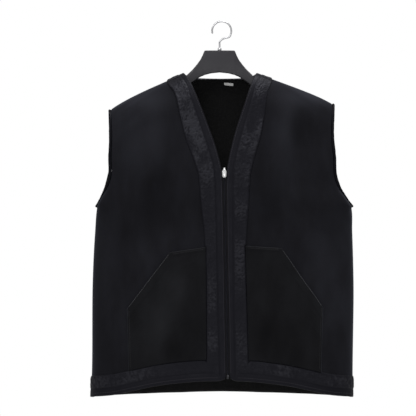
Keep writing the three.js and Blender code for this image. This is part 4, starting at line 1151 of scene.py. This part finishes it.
# A tape runs down its half of the slit, from the folded edge to just beside the middle, with three ribs.
def buildTape(side, node):
    z = np.linspace(zipLook["foot"], zipLook["head"], 160)
    across = edgeAcross(side, z)
    points, normals = clothGrid(side, "front", across, dropAt(side, across, z))
    columns = np.linspace(0, 1, 7)[None, :, None]
    near = 2 * form["gap"] + form["trim"]
    far = (lookup(frontHalf, z) + form["trim"] + form["gap"] / 2)[:, None, None]
    flat = points[:, None] + np.array([-sides[side]["sign"], 0, 0]) * (near + (far - near) * columns)
    rib = zipLook["rib"] * np.cos(columns * math.pi * 6)
    top = flat + normals[:, None] * (-zipLook["recess"] - 0.6 + rib)
    under = flat - normals[:, None] * (zipLook["recess"] + zipLook["thickness"])
    settle(addWall("zipTape." + side, top, under, [tape]), [node])


# Teeth from the two tapes take turns down the middle. Each is a block that narrows outwards.
toothShape = np.array([
    (-0.5, 0, -0.3), (0.5, 0, -0.5), (0.5, 0, 0.5), (-0.5, 0, 0.3),
    (-0.42, 1, -0.2), (0.42, 1, -0.36), (0.42, 1, 0.36), (-0.42, 1, 0.2)], float)
toothFaces = np.array([(0, 1, 2, 3), (4, 7, 6, 5), (0, 4, 5, 1), (1, 5, 6, 2), (2, 6, 7, 3), (3, 7, 4, 0)])


def buildTeeth(side, start):
    sign, (width, height, depth) = sides[side]["sign"], zipLook["tooth"]
    z = np.arange(zipLook["head"] - zipLook["toothPitch"] * (0.7 + start), zipLook["foot"] + 1,
                  -zipLook["toothPitch"])
    across = edgeAcross(side, z)
    y = cloth(side, "front", across, dropAt(side, across, z))[:, 1] + zipLook["recess"] + 0.5
    places = np.stack([lookup(frontMiddle, z) + sign * 0.35, y, z], 1)
    axes = np.repeat(np.diag([-sign * width, -depth, height])[None], len(z), 0)
    settle(addCopies("zipTeeth." + side, toothShape, toothFaces, places, axes, [toothMetal]))


buildTape("left", "zip_half_left")
buildTape("right", "zip_half_right")
buildTeeth("left", 0.0)
buildTeeth("right", 0.5)


# A hard piece keeps its own form and gets small rounded edges.
def softenedNode(node, width, material, body="garment"):
    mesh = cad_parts[node].data.copy()
    mesh.name = node + "Smooth"
    work = bmesh.new()
    work.from_mesh(mesh)
    bmesh.ops.remove_doubles(work, verts=work.verts, dist=1e-5)
    bmesh.ops.dissolve_limit(work, angle_limit=math.radians(2), verts=work.verts, edges=work.edges)
    bmesh.ops.recalc_face_normals(work, faces=work.faces)
    work.to_mesh(mesh)
    work.free()
    mesh.materials.clear()
    mesh.materials.append(material)
    mesh.polygons.foreach_set("use_smooth", np.ones(len(mesh.polygons), bool))
    piece = bpy.data.objects.new(node + "Smooth", mesh)
    scene.collection.objects.link(piece)
    bevel = piece.modifiers.new("edges", "BEVEL")
    bevel.width = width
    bevel.segments = 2
    bevel.limit_method = "ANGLE"
    bevel.angle_limit = math.radians(35)
    bevel.harden_normals = True
    settle(piece, [node], body)


softenedNode("zip_slider", 0.00035, nickel)
softenedNode("zip_pull_tab", 0.00022, nickel, "pull_tab")
softenedNode("zip_end_box", 0.0006, darkMetal)
softenedNode("hook_ferrule", 0.0004, steel)
print("zip made")

labelLook = {"width": 22.0, "height": 6.2, "thickness": 0.6, "x": 17.5, "top": -132.9, "tilt": 1.7,
             "lift": 1.0, "bow": 0.5, "corner": 2.5}


# A blank strip just off the wool, bowed a little, with rounded corners.
def buildLabel():
    look = labelLook
    column, row = np.meshgrid(np.linspace(0, 1, 24), np.linspace(0, 1, 12))
    end = np.minimum(column, 1 - column) * look["width"]
    narrowing = 1 - 0.55 * (1 - rounded(end / look["corner"]))
    x = look["x"] + look["width"] * (column - 0.5)
    z = look["top"] - look["height"] * (0.5 + (row - 0.5) * narrowing) - look["tilt"] * column
    points, normals = clothGrid("right", "back", x, dropAt("right", x, z))
    lift = (form["skin"] + look["lift"] + look["bow"] * np.sin(math.pi * column))[..., None]
    shown, hidden = points - normals * (lift + look["thickness"]), points - normals * lift
    piece = addWall("sizeLabel", shown, hidden, [labelCloth])
    settle(piece, ["size_label"])


buildLabel()
print("label made")

hangerLook = {"middle": -4.8, "tipAt": 232.0, "armHeight": 27.0, "tipHeight": 22.0, "neckDepth": 11.0,
              "tipDepth": 13.0, "lowCorner": 2.2, "tipRound": 9.0, "plate": 33.0}
# Out from the middle, top, bottom, half depth, and how far the top is rounded.
hangerPlate = np.array([
    (0, -64.5, -114.7, 6, 2), (20, -64.5, -116.8, 6, 2), (34, -64.7, -120.4, 6, 2.2),
    (36, -68, -121.3, 6, 2.6), (39, -75.5, -122.6, 6.2, 3), (44, -85.6, -124.5, 6.5, 4),
    (52, -96.6, -129.8, 7, 5.5), (62, -108.4, -137, 8, 7), (74, -120, -146, 9.5, 9), (79, -126, -150, 10, 11)])


# Upright sections from one tip to the other: rounded over the top, nearly flat below, with soft lower
# corners. Beyond the plate the arms follow the cloth under the shoulder ridge.
def buildHanger():
    look = hangerLook
    rows = [(look["middle"], *hangerPlate[0, 1:])]
    for side, s in sides.items():
        rows += [(look["middle"] + s["sign"] * out, *rest) for out, *rest in hangerPlate[1:]]
        share = np.linspace(0, 1, 9)
        across = mix(s["neck"] + 4, look["tipAt"], share)
        under = clothNormal(side, "back", across, 0.6) * (form["skin"] + form["gap"])
        seat = cloth(side, "back", across, 0.01) - under
        end = np.where(share > 0.99, 0.7, 1)
        height = mix(look["armHeight"], look["tipHeight"], share) * end
        depth = mix(look["neckDepth"], look["tipDepth"], share) * end
        rows += list(zip(seat[:, 0], seat[:, 2], seat[:, 2] - height, depth, height * 0.8))
    rows = np.array(sorted(rows))
    fine = np.unique(np.concatenate([np.linspace(a, b, 7) for a, b in zip(rows[:-1, 0], rows[1:, 0])]))
    values = readBetween(fine, rows[:, 0], rows[:, 1:])
    smooth = values.copy()
    for _ in range(2):
        smooth[1:-1] = (smooth[:-2] + 2 * smooth[1:-1] + smooth[2:]) / 4
    values = np.where((np.abs(fine - look["middle"]) < look["plate"])[:, None], values, smooth)
    # The tips close in a rounded end.
    taper = rounded(np.minimum(fine - fine[0], fine[-1] - fine) / look["tipRound"], 0.02)
    middle = (values[:, 0] + values[:, 1]) / 2
    top, bottom = mix(middle, values[:, 0], taper), mix(middle, values[:, 1], taper)[:, None]
    depth, rounding = values[:, 2] * taper, values[:, 3] * taper
    arc = np.linspace(0, math.pi, 17)[None]
    over = np.stack([np.repeat(fine[:, None], 17, 1), depth[:, None] * np.cos(arc),
                     (top - rounding)[:, None] + rounding[:, None] * np.sin(arc)], -1)
    low = np.minimum(look["lowCorner"], depth)[:, None]
    turn = np.linspace(0, math.pi / 2, 5)[None]
    front = np.stack([np.repeat(fine[:, None], 5, 1), -depth[:, None] + low * (1 - np.cos(turn)),
                      bottom + low * (1 - np.sin(turn))], -1)
    rings = np.concatenate([over, front, front[:, ::-1] * np.array([1, -1, 1])], 1)
    settle(addTube("hangerBody", rings, [plastic]), ["hanger"])


buildHanger()

hookLook = {"wire": 2.0, "radius": 22.0, "foot": -64.2, "shaftX": -4.8, "shaftTop": -44.0, "kink": (4, -37.5),
            "from": -38, "to": 196}


# A round wire along a smooth curve through the shaft, the kink and the loop, with a rounded end.
def buildHook():
    h = hookLook
    angles = np.radians(np.arange(h["from"], h["to"] + 1, 18))
    loop = zip(h["radius"] * np.cos(angles), h["wire"] - h["radius"] + h["radius"] * np.sin(angles))
    points = np.array([(h["shaftX"], h["foot"]), (h["shaftX"], -58.0), (h["shaftX"], h["shaftTop"] - 8),
                       (h["shaftX"] + 0.6, h["shaftTop"]), h["kink"], *loop])
    length = lengthsAlong(points)
    at = np.linspace(0, length[-1], 150)
    x, z = (lookup(list(zip(length, column)), at) for column in points.T)
    path = np.stack([x, 0 * x, z], 1)
    ahead = unit(np.gradient(path, axis=0))
    level = np.array([0.0, 1.0, 0.0])
    across = np.cross(ahead, level)
    around = np.linspace(0, 2 * math.pi, 18, endpoint=False)[None, :, None]
    radius = h["wire"] * rounded((length[-1] - at) / h["wire"], 0.03)[:, None, None]
    rings = path[:, None] + radius * (np.cos(around) * across[:, None] + np.sin(around) * level)
    settle(addTube("hookWire", rings, [steel]), ["hook"])


buildHook()
print("hanger made")

stageLook = {"floorHeight": -1.15, "floorSize": 0.95, "skyLight": 0.38,
             "cameraPlace": (-0.0314, -3.5, -0.4252), "lens": 132.3}
floorNodes = Nodes("paleFloor")
floorTone = floorNodes.mixed(floorNodes.noise(3, 2), (0.86, 0.86, 0.86), (0.9, 0.9, 0.9))
paleFloor = floorNodes.finish(floorTone, 0.8)
floorPoints = np.array([(-1, -1, 0), (1, -1, 0), (1, 1, 0), (-1, 1, 0)]) * stageLook["floorSize"] * 1000
floorPoints[:, 2] = stageLook["floorHeight"] * 1000
floor = addMesh("floor", floorPoints, np.array([[0, 1, 2, 3]]), [paleFloor], smooth=False)

# The backdrop is white, and lights the garment less than it shows.
world = bpy.data.worlds.new("studio")
scene.world = world
world.use_nodes = True
sky = world.node_tree
sky.nodes["Background"].inputs["Color"].default_value = (1, 1, 1, 1)
seen = sky.nodes.new("ShaderNodeLightPath")
strength = sky.nodes.new("ShaderNodeMapRange")
strength.inputs["To Min"].default_value = stageLook["skyLight"]
strength.inputs["To Max"].default_value = 1.0
sky.links.new(seen.outputs["Is Camera Ray"], strength.inputs["Value"])
sky.links.new(strength.outputs["Result"], sky.nodes["Background"].inputs["Strength"])
scene.view_settings.view_transform = "Standard"


# A soft lamp at a place, turned to a target.
def addLamp(name, place, target, size, power):
    data = bpy.data.lights.new(name, "AREA")
    data.shape = "RECTANGLE"
    data.size, data.size_y = size
    data.energy = power
    lamp = bpy.data.objects.new(name, data)
    lamp.location = place
    lamp.rotation_mode = "QUATERNION"
    lamp.rotation_quaternion = (Vector(target) - Vector(place)).to_track_quat("-Z", "Y")
    scene.collection.objects.link(lamp)


addLamp("keyLight", (-1.3, -2.2, 1.5), (0, 0, -0.4), (1.6, 1.6), 20)
addLamp("fillLight", (-0.2, -3.9, -0.3), (0, 0, -0.4), (1.3, 1.3), 9)
addLamp("topLight", (0.4, -0.4, 1.6), (0, 0, -0.3), (1.8, 1.0), 30)

cameraData = bpy.data.cameras.new("camera")
cameraData.sensor_width = 36
cameraData.lens = stageLook["lens"]
camera = bpy.data.objects.new("camera", cameraData)
camera.location = stageLook["cameraPlace"]
camera.rotation_euler = (math.pi / 2, 0, 0)
scene.collection.objects.link(camera)
scene.camera = camera
print("stage made")
